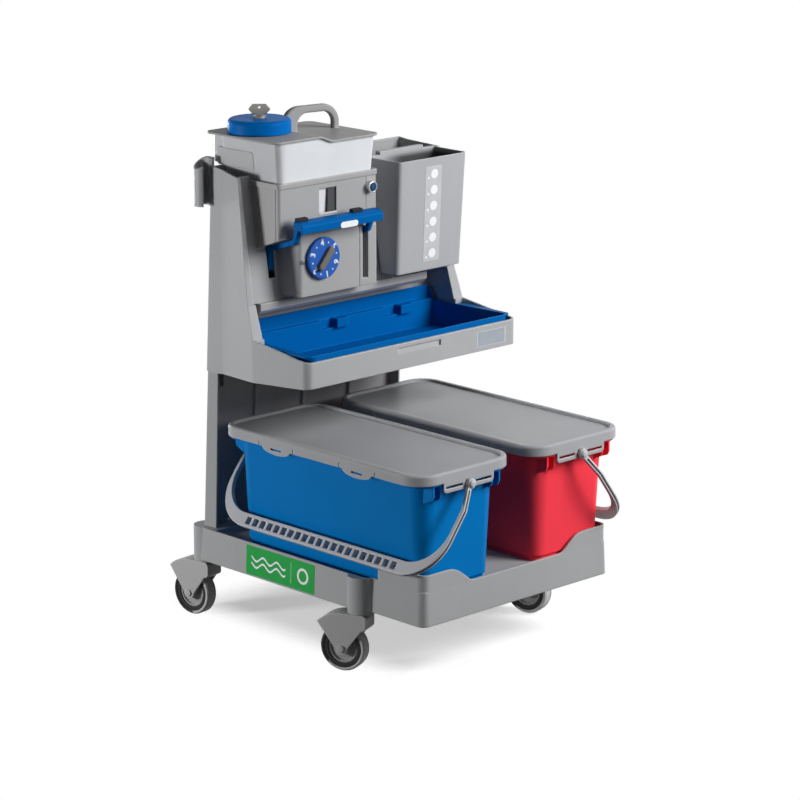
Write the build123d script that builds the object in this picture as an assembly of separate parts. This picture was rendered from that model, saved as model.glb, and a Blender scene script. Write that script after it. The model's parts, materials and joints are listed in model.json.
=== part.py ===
from build123d import *
import math
import os

os.makedirs("parts", exist_ok=True)

# All sizes are in millimetres. X runs to the right seen from the front, Y to the back, Z up from the floor.

# Fits between pieces
running_gap = 0.05
turning_gap = 0.5
lifting_gap = 1.0

# Castors; each height above the floor is stacked on the one below it
wheel_diameter = 94.0
tyre_width = 26.0
tyre_depth = 7.0
tyre_rounding = 4.0
ring_depth = 9.0
ring_width = 23.0
hub_width = 19.0
hub_boss_radius = 13.0
hub_dish_depth = 4.0
axle_radius = 4.0
axle_head_radius = 7.0
axle_head_height = 3.0
castor_trail = 36.0
fork_width = 40.0
fork_leg_thickness = 5.0
fork_lobe_radius = 13.0
wheel_to_hood = 5.0
hood_top = wheel_diameter + 24.0
hood_edge = 50.0
hood_nose_reach = 17.0
hood_nose_drop = 31.0
hood_nose_rounding = 8.0
stem_radius = 6.0
stem_collar_radius = 11.0
stem_sink = 26.0
front_stem_inset = 16.0
rear_stem_inset = 27.0
front_stem_back = 171.0
rear_stem_forward = 21.0
front_left_turn = 22.0
front_right_turn = 15.0
rear_left_turn = 7.0
rear_right_turn = 7.0

# Base
post_bottom = hood_top + 3.0
post_radius = 28.0
base_bottom = post_bottom + 6.0
base_rim_top = base_bottom + 67.0
base_draft = 2.6
base_wall = 5.0
base_rear_corner = 22.0
apron_inset = 13.0
apron_length = 137.0
apron_corner = 17.0
raised_corner_top = base_rim_top + 33.0
dip_half_width = 118.0
dip_rise_width = 75.0
deck_top = base_rim_top - 10.0
deck_thickness = 5.0
plinth_step = 13.0
base_rear_margin = 22.0
base_rib_thickness = 4.0
base_rib_depth = 26.0
base_rib_pitch = 130.0

# Column
column_half_width = 251.0
column_wall = 4.0
column_foot_front = 249.0
column_depth = 35.0
column_front_lean = 0.037
column_rear_lean = 0.053
column_rib_width = 7.0
column_rib_depth = 11.0
column_rib_pitch = 129.0
column_flange_thickness = 5.0
tongue_half_width = column_half_width - 15.0
tongue_height = 78.0
latch_width = 12.0
latch_depth = 9.0
latch_height = 24.0
screw_radius = 3.0
screw_head_radius = 5.5
screw_head_height = 3.5
screw_length = 16.0
screw_spacing = 135.0

# Heights of the station, all stacked on the rim of the tray
tray_rim = 603.0
shelf_floor = tray_rim - 55.0
shelf_front_bottom = shelf_floor - 7.0
shelf_front_top = tray_rim - 11.0
station_bottom = shelf_floor - 31.0
knee_z = tray_rim + 9.0
cheek_bend_z = tray_rim + 72.0
roof_bottom = tray_rim + 73.0
housing_front_bottom = roof_bottom + 129.0
housing_top = housing_front_bottom + 109.0
cheek_top_z = housing_top + 6.0
station_top_rear = housing_top + 16.0
tank_seat = housing_front_bottom + 6.0

# Station body
station_rear_half_width = 254.0
station_half_width = 286.0
station_wall = 4.0
splay_front = 93.0
splay_rear = 218.0
splay_rounding = 30.0
shelf_front = -64.0
shelf_rim_width = 5.0
shelf_corner = 16.0
knee_y = 91.0
cheek_bend_y = 110.5
cheek_top_y = 146.0
cheek_inner_half_width = station_half_width - 25.0
front_wall_half_width = station_half_width - 20.0
front_wall_setback = 6.0
tray_bay_rear = 170.0
tank_rib_thickness = 4.0
tank_rib_inset = 30.0
finger_recess_left = -45.0
finger_recess_right = 60.0
finger_recess_bottom = shelf_front_bottom + 31.0
finger_recess_height = 12.0
finger_recess_depth = 3.0
latch_hole_width = 11.0
latch_hole_depth = 3.5

# Tank housing
housing_left = -238.0
housing_right = 21.0
housing_front = 66.0
housing_fall = 0.35
housing_wall = 3.0
housing_rim_height = 10.0
housing_rim_reach = 2.0
housing_edge_rounding = 6.0
housing_seam_width = 1.6
housing_seam_depth = 1.2
housing_side_seam = 9.0
housing_front_seam_x = -9.0
window_left = -133.0
window_right = -88.0
window_bottom = housing_top - 69.0
window_top = housing_top - 21.0

# Dial housing and dial
dial_housing_left = -188.0
dial_housing_right = 16.0
dial_housing_front = 63.0
dial_housing_bottom = roof_bottom + 10.0
dial_housing_wall = 3.5
dial_housing_rounding = 8.0
arm_slot_bottom = roof_bottom + 25.0
panel_seam_x = -30.0
panel_seam_width = 1.6
dial_x = -131.0
dial_z = roof_bottom + 82.0
dial_radius = 41.5
dial_thickness = 8.0
dial_edge_rounding = 3.0
dial_grip_length = 54.0
dial_grip_width = 15.0
dial_grip_height = 9.0
dial_grip_angle = 50.0
dial_shaft_radius = 6.0
dial_shaft_sink = 4.0
dial_shaft_length = 28.0
index_dot_radius = 3.0
index_dot_height = 1.0
index_dot_offset = 47.0

# Button
button_x = 0.0
button_z = housing_top - 32.0
bezel_radius = 11.5
bezel_wall = 3.0
bezel_reach = 12.0
bezel_rounding = 1.5
button_proud = 2.0
button_travel = 4.0
button_seat_thickness = 3.0

# Press lever
lever_left = -221.0
lever_right = -8.0
lever_front = 18.0
lever_back = 43.0
lever_bottom = housing_front_bottom + 17.0
lever_top = housing_front_bottom + 39.0
lever_plate = 5.0
lever_slope = 5.0
lever_nose = 6.0
left_arm_left = -212.0
left_arm_width = 12.0
right_arm_left = -18.0
right_arm_width = 9.0
arm_depth = 9.0
arm_clear_of_housing = 3.0
pivot_y = 132.0
pivot_z = roof_bottom + 65.0
pivot_pin_radius = 3.0
leg_width = 14.0
leg_chamfer = 3.0
lug_thickness = 6.0
lug_height = 22.0
arm_side_gap = 3.0
pad_width = 26.0
pad_depth = 10.0
pad_height = 6.0
left_pad_x = -205.0
right_pad_x = -62.0

# Outlet bar
outlet_left_gap = 11.0
outlet_right_gap = 61.0
outlet_left = outlet_left_gap - cheek_inner_half_width
outlet_right = cheek_inner_half_width - outlet_right_gap
outlet_front = 108.0
outlet_depth = 34.0
outlet_height = 22.0
outlet_bevel = 8.0
outlet_slot_pitch = 36.0
outlet_slot_length = 14.0
outlet_slot_width = 4.0
outlet_slot_depth = 6.0

# Bin
bin_top_left = 74.0
bin_top_right = station_half_width - 24.0
bin_bottom_left = 76.0
bin_bottom_right = station_half_width - 31.0
bin_front_top = 56.0
bin_front_bottom = 66.0
bin_bottom = roof_bottom + 15.0
bin_top = cheek_top_z
bin_wall = 3.0
bin_corner = 9.0
bin_hook_height = 5.0
bin_hook_width = 120.0
bin_hook_lip = 3.0
bin_hook_drop = 11.0
bin_hook_gap = 2.0

# Tray
tray_half_width = station_half_width - 16.0
tray_flange_half_width = station_half_width - 9.0
tray_rear_half_width = cheek_inner_half_width - 7.0
tray_front = -57.0
tray_waist = 83.0
tray_rear = 160.0
tray_flange_thickness = 4.0
tray_back_rim = tray_rim + 30.0
tray_back_start = 138.0
tray_wall = 3.0
tray_corner = 14.0
tray_ledge_z = tray_rim + 3.0
tray_ledge_depth = 11.0
tray_left_stop = -40.0
tray_right_stop = 137.0
tray_stop_width = 34.0
tray_stop_depth = 9.0
tray_stop_height = 18.0
tray_stop_gap = 2.0

# Tank
tank_bottom_left = -222.0
tank_bottom_right = 8.0
tank_bottom_front = 76.0
tank_bottom_rear = 226.0
tank_top_left = -240.0
tank_top_right = 22.0
tank_top_front = 67.0
tank_top_rear = 236.0
tank_wall = 3.0
tank_corner = 12.0
shoulder_rear = 265.0
shoulder_bottom = station_top_rear + 6.0
lid_left = -250.0
lid_right = 28.0
lid_front = 62.0
lid_rear = 270.0
lid_corner = 18.0
lid_thickness = 4.0
lid_high = tank_seat + 185.0
lid_low = lid_high - 11.0
lid_curve_left = -135.0
lid_curve_right = -95.0
handle_left = -116.0
handle_right = 15.0
handle_top = lid_low + 50.0
handle_section = 15.0
handle_left_leg = 34.0
handle_skew = 10.0
handle_rounding = 5.0
handle_y = 172.0
handle_corner = 38.0
cap_x = -181.0
cap_y = 184.0
cap_radius = 62.0
cap_height = 28.0
cap_top_thickness = 6.0
cap_wall = 6.0
cap_rounding = 8.0
neck_wall = 4.0
lock_radius = 13.0
lock_proud = 4.0
key_width = 44.0
key_height = 20.0
key_thickness = 3.5
key_flat_width = 26.0
key_hole_radius = 2.2
key_neck_width = 12.0
key_neck_height = 3.0
key_blade_depth = 6.0
key_angle = -43.9
valve_x = -62.0
valve_y = 168.0
valve_radius = 13.0
valve_length = 14.0
outlet_radius = 9.0
socket_wall = 6.0
socket_height = 15.0
socket_floor_thickness = 1.5
socket_drain_radius = 6.0
chamber_x = -70.0
chamber_radius = 14.0
chamber_height = 70.0
chamber_wall = 3.0

# Pole holder
holder_side = 9.0
holder_back = 11.4
holder_radius = 13.0
holder_wall = 4.0
holder_bottom = housing_top - 63.0
holder_outer_top = housing_top + 11.0
holder_top = housing_top + 33.0
holder_open_start = 235.0
holder_open_end = 310.0
holder_pad_width = 40.0
holder_pad_thickness = 5.0

# Buckets
bucket_bottom_width = 183.0
bucket_bottom_length = 506.0
bucket_bottom_corner = 26.0
bucket_draft = 2.7
bucket_wall = 3.0
bucket_step_height = 11.0
bucket_step_inset = 4.0
bucket_rim_top = deck_top + 231.5
bucket_rim_thickness = 4.0
bucket_rim_drop = 14.0
bucket_rim_wall = 3.0
bucket_rib_thickness = 4.0
bucket_rib_height = 38.0
bucket_rib_bevel = 8.0
bucket_rib_inner_x = 68.0
bucket_rib_outer_x = 87.0
bucket_front_gap = 7.2
bucket_side_gap = 25.0
bucket_to_column = 78.75

# Bucket lids
cover_side_reach = 27.1
cover_end_reach = 20.6
cover_gap = 49.0
cover_corner = 48.0
cover_wall = 3.0
cover_skirt_bottom = bucket_rim_top - 9.5
cover_border_top = bucket_rim_top + 11.5
cover_border_width = 11.0
cover_border_step = 5.0
cover_plate_thickness = 3.0
cover_edge_rounding = 5.0
tab_offset = 114.0
tab_half_width = 40.0
tab_drop = 12.0
tab_slot_length = 31.0
tab_slot_height = 4.0
tab_slit_offset = 49.0
tab_slit_width = 2.0
tab_slit_height = 9.0
end_plate_width = 132.0
end_plate_bottom = cover_skirt_bottom - 20.0
end_plate_corner = 8.0
end_slot_length = 44.0
end_slot_height = 5.0
end_slot_offset = 38.0
end_notch_half_width = 9.0
end_notch_gap = 3.0

# Bails
bail_pivot_z = bucket_rim_top - 20.5
bail_reach = 195.0
bail_bulge = 15.0
bail_bulge_length = 55.0
bail_grip_width = 28.0
bail_arm_width = 7.0
bail_thickness = 10.0
bail_outer_corner = 90.0
bail_eye_radius = 10.0
bail_pin_radius = 5.0
bail_boss_radius = 9.0
bail_head_radius = 6.5
bail_head_height = 2.5
bail_hang_angle = 53.0
bail_slot_pitch = 20.5
bail_slot_count = 21
bail_slot_length = 14.0
bail_slot_margin = 6.0

# Sizes that follow from the ones above
wheel_radius = wheel_diameter / 2
ring_outer_radius = wheel_radius - tyre_depth
hub_radius = ring_outer_radius - ring_depth
fork_gap = fork_width - 2 * fork_leg_thickness
deck_bottom = deck_top - deck_thickness
base_draft_shift = (base_rim_top - base_bottom) * math.tan(math.radians(base_draft))
step_top = deck_top + bucket_step_height
bucket_rise = (bucket_rim_top - step_top) * math.tan(math.radians(bucket_draft))
cover_width = bucket_bottom_width + 2 * (bucket_rise + cover_side_reach)
cover_length = bucket_bottom_length + 2 * (bucket_rise + cover_end_reach)
bucket_x = (cover_width + cover_gap) / 2
bucket_rear = column_foot_front - bucket_to_column
bucket_y = bucket_rear - bucket_bottom_length / 2
base_half_width = bucket_x + bucket_bottom_width / 2 + bucket_side_gap
base_front = bucket_rear - bucket_bottom_length - bucket_front_gap - base_wall - base_draft_shift
apron_half_width = base_half_width - apron_inset
apron_rear = base_front + apron_length
column_foot_rear = column_foot_front + column_depth
column_screw_y = column_foot_front + column_depth / 2
column_screw_places = [step * screw_spacing for step in (-1.5, -0.5, 0.5, 1.5)]
plinth_front = column_foot_front - plinth_step
base_rear = column_foot_rear + base_rear_margin
front_stem_x = base_half_width - front_stem_inset
rear_stem_x = base_half_width - rear_stem_inset
front_stem_y = base_front + front_stem_back
rear_stem_y = base_rear - rear_stem_forward
bail_offset = cover_length / 2 + 2 * lifting_gap + bail_arm_width / 2
cheek_slope = (cheek_top_y - cheek_bend_y) / (cheek_top_z - cheek_bend_z)
roof_top = roof_bottom + station_wall
tray_taper = (tray_half_width - tray_rear_half_width) / (tray_rear - tray_front)
knob_back = dial_housing_front - index_dot_height - turning_gap
knob_front = knob_back - dial_thickness
button_length = bezel_reach + button_proud - button_travel
cap_bottom = lid_high + lifting_gap
cap_top = lid_high + cap_height
lock_top = cap_top + lock_proud


# Lines that lean with the height
def rear_line(z):
    return column_foot_rear - (z - base_rim_top) * column_rear_lean


def flange_line(z):
    return column_foot_front - (z - base_rim_top) * column_front_lean


def cheek_line(z):
    return cheek_bend_y + (z - cheek_bend_z) * cheek_slope


def wall_line(z):
    return cheek_line(z) + front_wall_setback


def housing_floor(y):
    return housing_front_bottom - (y - housing_front) * housing_fall


def floor_meets_wall(offset):
    rise = housing_front_bottom + offset + housing_front * housing_fall - cheek_bend_z
    return (cheek_bend_y + front_wall_setback + rise * cheek_slope) / (1 + housing_fall * cheek_slope)


def tray_half(y):
    return tray_half_width - (y - tray_front) * tray_taper


holder_x = -station_rear_half_width - holder_side
holder_y = rear_line(holder_bottom) + holder_back


# Simple solids placed by their limits
def block(x_low, x_high, y_low, y_high, z_low, z_high):
    solid = Box(x_high - x_low, y_high - y_low, z_high - z_low)
    return Pos((x_low + x_high) / 2, (y_low + y_high) / 2, (z_low + z_high) / 2) * solid


def rod_x(radius, x_low, x_high, y, z):
    return Pos((x_low + x_high) / 2, y, z) * Rot(0, 90, 0) * Cylinder(radius, x_high - x_low)


def rod_y(radius, y_low, y_high, x, z):
    return Pos(x, (y_low + y_high) / 2, z) * Rot(90, 0, 0) * Cylinder(radius, y_high - y_low)


def rod_z(radius, z_low, z_high, x, y):
    return Pos(x, y, (z_low + z_high) / 2) * Cylinder(radius, z_high - z_low)


def side_prism(outline, x_low, x_high):
    face = Plane.YZ.offset(x_low) * Polygon(*outline, align=None)
    return extrude(face, amount=x_high - x_low, dir=(1, 0, 0))


def plan_prism(sketch, z_low, z_high):
    return extrude(Pos(0, 0, z_low) * sketch, amount=z_high - z_low, dir=(0, 0, 1))


def rounded_plate(width, length, corner, x, y, z_low, z_high):
    return plan_prism(Pos(x, y, 0) * RectangleRounded(width, length, corner), z_low, z_high)


def rounded_loft(low, high):
    faces = []
    for x_low, x_high, y_low, y_high, corner, z in (low, high):
        outline = RectangleRounded(x_high - x_low, y_high - y_low, corner)
        faces.append((Pos((x_low + x_high) / 2, (y_low + y_high) / 2, z) * outline).face())
    return loft(faces)


def mirrored(solid):
    return mirror(solid, about=Plane.YZ)


# Castors: stem, fork, axle and a wheel of hub, dark ring and tyre
def wheel_layer(outer, inner, width):
    return Cylinder(outer, width) - Cylinder(inner, width)


def make_tyre():
    tyre = Cylinder(wheel_radius, tyre_width)
    tyre = chamfer(tyre.edges(), tyre_rounding, tyre_rounding * 0.6)
    return tyre - Cylinder(ring_outer_radius, tyre_width)


def make_hub():
    boss_width = fork_gap - 2 * turning_gap
    hub = Cylinder(hub_radius, hub_width) + Cylinder(hub_boss_radius, boss_width)
    dish = wheel_layer(hub_radius - hub_dish_depth, hub_boss_radius, hub_dish_depth)
    dish_centre = (hub_width - hub_dish_depth) / 2
    hub = hub - Pos(0, 0, dish_centre) * dish - Pos(0, 0, -dish_centre) * dish
    return hub - Cylinder(axle_radius + running_gap, boss_width)


def make_fork():
    hood_radius = hood_top - wheel_radius
    hood_half = math.sqrt(hood_radius ** 2 - hood_edge ** 2)
    above = Rectangle(2 * hood_radius, hood_radius)
    hood = Circle(hood_radius) & Pos(0, hood_edge + hood_radius / 2) * above
    nose_length = castor_trail + hood_nose_reach
    nose = Pos(-nose_length / 2, hood_radius - hood_nose_drop / 2) * Rectangle(nose_length, hood_nose_drop)
    nose = fillet(nose.vertices().sort_by(Axis.X)[:2], hood_nose_rounding)
    legs = Polygon(
        (-hood_half, hood_edge), (-fork_lobe_radius, 0), (fork_lobe_radius, 0), (hood_half, hood_edge),
        align=None)
    side = Pos(castor_trail, wheel_radius) * (hood + nose + legs + Circle(fork_lobe_radius))
    fork = extrude(Plane.YZ * side, amount=fork_width / 2, both=True)
    half_gap = fork_gap / 2
    fork = fork - rod_x(wheel_radius + wheel_to_hood, -half_gap, half_gap, castor_trail, wheel_radius)
    fork = fork - rod_x(axle_radius, -fork_width, fork_width, castor_trail, wheel_radius)
    return fork - rod_z(stem_radius + running_gap, hood_top - stem_sink, hood_top, 0, 0)


def make_axle():
    half = fork_width / 2
    axle = rod_x(axle_radius, -half, half, castor_trail, wheel_radius)
    for side in (-1, 1):
        low = min(side * half, side * (half + axle_head_height))
        axle = axle + rod_x(axle_head_radius, low, low + axle_head_height, castor_trail, wheel_radius)
    return axle


def make_stem():
    shank = rod_z(stem_radius, hood_top - stem_sink + lifting_gap, deck_bottom, 0, 0)
    return shank + rod_z(stem_collar_radius, hood_top + turning_gap, post_bottom, 0, 0)


castor_places = {
    "front_left": (-front_stem_x, front_stem_y, front_left_turn),
    "front_right": (front_stem_x, front_stem_y, front_right_turn),
    "rear_left": (-rear_stem_x, rear_stem_y, rear_left_turn),
    "rear_right": (rear_stem_x, rear_stem_y, rear_right_turn),
}
nodes = {}
for place_name, (stem_x, stem_y, turn) in castor_places.items():
    at_stem = Pos(stem_x, stem_y, 0) * Rot(0, 0, turn)
    at_axle = at_stem * Pos(0, castor_trail, wheel_radius) * Rot(0, 90, 0)
    nodes["castor_stem_" + place_name] = at_stem * make_stem()
    nodes["castor_fork_" + place_name] = at_stem * make_fork()
    nodes["castor_axle_" + place_name] = at_stem * make_axle()
    nodes["wheel_tyre_" + place_name] = at_axle * make_tyre()
    nodes["wheel_ring_" + place_name] = at_axle * wheel_layer(ring_outer_radius, hub_radius, ring_width)
    nodes["wheel_hub_" + place_name] = at_axle * make_hub()


# Base: a drafted hollow moulding with posts, deck recess and raised front corners
def base_plan(inset):
    beam_length = base_rear - apron_rear
    beam = Rectangle(2 * (base_half_width - inset), beam_length - 2 * inset)
    beam = fillet(beam.vertices(), base_rear_corner - inset)
    beam = Pos(0, (base_rear + apron_rear) / 2) * beam
    apron_length = apron_rear - base_front + 2 * base_rear_corner
    apron = Rectangle(2 * (apron_half_width - inset), apron_length - inset)
    apron = fillet(apron.vertices().sort_by(Axis.Y)[:2], apron_corner - inset)
    apron = Pos(0, base_front + inset + (apron_length - inset) / 2) * apron
    return beam + apron


def make_base():
    height = base_rim_top - base_bottom
    base = extrude(Pos(0, 0, base_bottom) * base_plan(0), amount=height, taper=base_draft)
    inner_inset = base_wall + base_draft_shift
    base = base - plan_prism(base_plan(inner_inset), base_bottom, deck_bottom)
    rib_low = deck_bottom - base_rib_depth
    rib_front = base_front + base_wall
    rib_rear = base_rear - base_wall
    rib_reach = base_half_width - base_wall
    rib_half = base_rib_thickness / 2
    for step in (-1, 0, 1):
        x = step * base_rib_pitch
        base = base + block(x - rib_half, x + rib_half, rib_front, rib_rear, rib_low, deck_bottom)
    for step in (-1, 0, 1, 2):
        y = step * base_rib_pitch - base_rib_pitch / 2
        base = base + block(-rib_reach, rib_reach, y - rib_half, y + rib_half, rib_low, deck_bottom)
    deck = Rectangle(2 * base_half_width, plinth_front - base_front)
    recess = base_plan(inner_inset) & Pos(0, (plinth_front + base_front) / 2) * deck
    base = base - plan_prism(recess, deck_top, base_rim_top)
    for x, y, turn in castor_places.values():
        base = base + rod_z(post_radius, post_bottom, deck_top, x, y)
        cap = rod_z(post_radius, deck_top, base_rim_top, x, y)
        rim_inner = base_half_width - inner_inset
        base = base + (cap - block(-rim_inner, rim_inner, base_front, plinth_front, deck_top, base_rim_top))
    base = base + raised_corners()
    for x, y, turn in castor_places.values():
        base = base - rod_z(stem_radius, post_bottom, deck_bottom, x, y)
    screw_low = base_rim_top + column_flange_thickness - screw_length
    for x in column_screw_places:
        base = base - rod_z(screw_radius, screw_low, base_rim_top, x, column_screw_y)
    return base


def raised_corners():
    width = 2 * (apron_half_width - base_draft_shift)
    front = base_front + base_draft_shift
    length = apron_rear - front
    outer = fillet(Rectangle(width, length).vertices(), apron_corner)
    inner = Rectangle(width - 2 * base_wall, length - base_wall)
    inner = fillet(inner.vertices().sort_by(Axis.Y)[:2], apron_corner - base_wall)
    ring = outer - Pos(0, base_wall / 2) * inner
    wall = plan_prism(Pos(0, front + length / 2) * ring, deck_top, raised_corner_top)
    far = dip_half_width + dip_rise_width
    top = raised_corner_top + lifting_gap
    height = raised_corner_top - base_rim_top
    rise = [
        (dip_half_width, base_rim_top),
        (dip_half_width + 0.2 * dip_rise_width, base_rim_top + 0.18 * height),
        (dip_half_width + 0.55 * dip_rise_width, base_rim_top + 0.76 * height),
        (far, raised_corner_top),
    ]
    right = Spline(rise, tangents=[(1, 0), (1, 0.02)])
    left = Spline([(-x, z) for x, z in rise], tangents=[(-1, 0), (-1, 0.02)])
    low = Line(left @ 0, right @ 0)
    up_right = Line(right @ 1, (far, top))
    across = Line((far, top), (-far, top))
    up_left = Line((-far, top), left @ 1)
    reach = apron_corner + base_wall
    dip = make_face(Plane.XZ.offset(-front - reach) * (right + left + low + up_right + across + up_left))
    return wall - extrude(dip, amount=2 * reach, dir=(0, -1, 0))


nodes["base"] = make_base()


# Column: side flanges, recessed panel with upright ribs, foot, shoulder and a tongue into the station
def leaning_strip(depth_front, depth_rear, z_low, z_high, x_low, x_high):
    outline = [
        (rear_line(z_low) - depth_front, z_low),
        (rear_line(z_low) - depth_rear, z_low),
        (rear_line(z_high) - depth_rear, z_high),
        (rear_line(z_high) - depth_front, z_high),
    ]
    return side_prism(outline, x_low, x_high)


def make_column():
    inner = column_half_width - column_wall
    flange = side_prism([
        (flange_line(base_rim_top), base_rim_top),
        (rear_line(base_rim_top), base_rim_top),
        (rear_line(station_bottom), station_bottom),
        (flange_line(station_bottom), station_bottom),
    ], inner, column_half_width)
    column = flange + mirrored(flange)
    column = column + leaning_strip(column_wall, 0, base_rim_top, station_bottom, -inner, inner)
    for step in (-1, 0, 1):
        x = step * column_rib_pitch
        half = column_rib_width / 2
        column = column + leaning_strip(
            column_rib_depth, column_wall / 2, base_rim_top, station_bottom, x - half, x + half)
    foot_top = base_rim_top + column_flange_thickness
    foot_front = column_foot_front + column_wall / 2
    column = column + block(-inner, inner, foot_front, rear_line(foot_top), base_rim_top, foot_top)
    shoulder = station_bottom - column_flange_thickness
    column = column + block(
        -inner, inner, flange_line(shoulder), rear_line(station_bottom), shoulder, station_bottom)
    tongue_front = 2 * station_wall + turning_gap
    column = column + leaning_strip(
        tongue_front, station_wall + turning_gap, shoulder, station_bottom + tongue_height,
        -tongue_half_width, tongue_half_width)
    for x in column_screw_places:
        column = column - rod_z(screw_radius, base_rim_top, foot_top, x, column_screw_y)
    return column


def make_column_screws():
    foot_top = base_rim_top + column_flange_thickness
    low = foot_top - screw_length
    head_top = foot_top + screw_head_height
    screws = Part()
    for x in column_screw_places:
        screws = screws + rod_z(screw_radius, low, foot_top, x, column_screw_y)
        screws = screws + rod_z(screw_head_radius, foot_top, head_top, x, column_screw_y)
    return screws


def make_latches():
    top = station_bottom - column_flange_thickness
    right = column_half_width - column_wall
    front = flange_line(top - latch_height)
    latch = block(right - latch_width, right, front, front + latch_depth, top - latch_height, top)
    return latch + mirrored(latch)


nodes["column"] = make_column()
nodes["column_screws"] = make_column_screws()
nodes["station_latches"] = make_latches()


# Station body: the plan outline and the side profile meet, then bays and slots are cut
def station_plan(inset):
    half_rear = station_rear_half_width - inset
    half_front = station_half_width - inset
    front = shelf_front + inset
    outline = Polygon(
        (-half_rear, column_foot_rear), (-half_rear, splay_rear), (-half_front, splay_front),
        (-half_front, front), (half_front, front), (half_front, splay_front), (half_rear, splay_rear),
        (half_rear, column_foot_rear), align=None)
    corners = outline.vertices().sort_by(Axis.Y)
    outline = fillet(corners[:2], shelf_corner - inset)
    bends = outline.vertices().filter_by_position(Axis.Y, splay_front - 2, splay_rear + 2)
    return fillet(bends, splay_rounding)


def make_station_body():
    profile = [
        (rear_line(station_bottom), station_bottom),
        (flange_line(station_bottom), station_bottom),
        (shelf_front, shelf_front_bottom),
        (shelf_front, shelf_front_top),
        (knee_y, knee_z),
        (cheek_bend_y, cheek_bend_z),
        (cheek_top_y, cheek_top_z),
        (rear_line(station_top_rear), station_top_rear),
    ]
    wide = station_half_width + 10
    body = plan_prism(station_plan(0), station_bottom - 20, station_top_rear + 20)
    body = body & side_prism(profile, -wide, wide)
    # Bay of the tray
    rim_inner = station_half_width - shelf_rim_width
    bay_front = shelf_front + shelf_rim_width
    front_bay = fillet(
        Rectangle(2 * rim_inner, knee_y - shelf_rim_width - bay_front).vertices().sort_by(Axis.Y)[:2],
        shelf_corner - shelf_rim_width)
    front_bay = Pos(0, (knee_y - shelf_rim_width + bay_front) / 2) * front_bay
    body = body - plan_prism(front_bay, shelf_floor, roof_bottom)
    body = body - block(
        -cheek_inner_half_width, cheek_inner_half_width, 0, tray_bay_rear, shelf_floor, roof_bottom)
    # Hollow under the shelf floor
    under_top = shelf_floor - station_wall
    under = plan_prism(station_plan(2 * shelf_rim_width), station_bottom, under_top)
    body = body - (under & block(-wide, wide, shelf_front + 30, tray_bay_rear, station_bottom, under_top))
    # Pocket for the column tongue
    pocket_front = tray_bay_rear + station_wall
    pocket = side_prism([
        (pocket_front, station_bottom - 5),
        (rear_line(station_bottom - 5) - station_wall, station_bottom - 5),
        (rear_line(roof_bottom) - station_wall, roof_bottom),
        (pocket_front, roof_bottom),
    ], -station_rear_half_width + station_wall, station_rear_half_width - station_wall)
    body = body - pocket
    # Front wall set back between the cheeks
    setback = side_prism([
        (cheek_line(roof_bottom) - 30, roof_bottom),
        (wall_line(roof_bottom), roof_bottom),
        (wall_line(station_top_rear + 20), station_top_rear + 20),
        (cheek_line(roof_bottom) - 30, station_top_rear + 20),
    ], -front_wall_half_width, front_wall_half_width)
    body = body - setback
    # Upper hollow, open at the top
    high = station_top_rear + 20
    hollow = side_prism([
        (wall_line(roof_top) + station_wall, roof_top),
        (rear_line(roof_top) - station_wall, roof_top),
        (rear_line(high) - station_wall, high),
        (wall_line(high) + station_wall, high),
    ], -wide, wide)
    hollow = hollow & plan_prism(station_plan(station_wall), roof_top, high)
    body = body - hollow
    # Ribs that carry the tank, and the seat of the valve socket
    middle_rib = (tank_bottom_left + tank_bottom_right) / 2
    right_rib = tank_bottom_right - tank_rib_thickness
    for x in (left_arm_left + tank_rib_inset, middle_rib, right_rib):
        rib = side_prism([
            (wall_line(roof_top) + 1, roof_top - 1),
            (rear_line(roof_top) - 1, roof_top - 1),
            (rear_line(tank_seat) - 1, tank_seat),
            (wall_line(tank_seat) + 1, tank_seat),
        ], x, x + tank_rib_thickness)
        body = body + rib
    socket_floor = tank_seat - lifting_gap - socket_height
    socket_reach = valve_radius + socket_wall
    body = body + block(
        middle_rib + 1, right_rib + 1,
        valve_y - socket_reach, valve_y + socket_reach, socket_floor - station_wall, socket_floor)
    # Opening behind the tank housing
    mouth = side_prism([
        (wall_line(housing_front_bottom) - 20, housing_front_bottom - 9),
        (wall_line(housing_front_bottom) + 12, housing_front_bottom - 9),
        (wall_line(high) + 12, high),
        (wall_line(high) - 20, high),
    ], housing_left + housing_wall / 2, housing_right - housing_wall / 2)
    body = body - mouth
    # Slots and lugs of the press lever
    for left, width in ((left_arm_left, left_arm_width), (right_arm_left, right_arm_width)):
        slot_low = left - arm_side_gap
        slot_high = left + width + arm_side_gap
        for lug_low in (slot_low - lug_thickness, slot_high):
            lug = block(
                lug_low, lug_low + lug_thickness, wall_line(pivot_z) + 2, pivot_y + lug_height / 2,
                pivot_z - lug_height / 2, pivot_z + lug_height / 2)
            body = body + lug
        body = body - block(
            slot_low, slot_high, wall_line(pivot_z) - 12, pivot_y + lug_height,
            pivot_z - lug_height, housing_front_bottom - 9)
        pin_low = slot_low - lug_thickness
        pin_high = slot_high + lug_thickness
        body = body - rod_x(pivot_pin_radius, pin_low, pin_high, pivot_y, pivot_z)
    # Finger recess and latch hole in the shelf front
    recess_top = finger_recess_bottom + finger_recess_height
    body = body - side_prism([
        (shelf_front - 1, finger_recess_bottom),
        (shelf_front, finger_recess_bottom),
        (shelf_front + finger_recess_depth, recess_top),
        (shelf_front - 1, recess_top),
    ], finger_recess_left, finger_recess_right)
    return body - block(
        finger_recess_right, finger_recess_right + latch_hole_width, shelf_front - 1,
        shelf_front + latch_hole_depth, finger_recess_bottom, recess_top)


nodes["station_body"] = make_station_body()


# Tank housing: a sloping-floored box on the front wall with a rim and a window
def housing_outline(inset, top):
    front = housing_front + inset
    rear_floor = floor_meets_wall(inset)
    return [
        (front, housing_floor(front) + inset),
        (rear_floor, housing_floor(rear_floor) + inset),
        (wall_line(top), top),
        (front, top),
    ]


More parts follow.
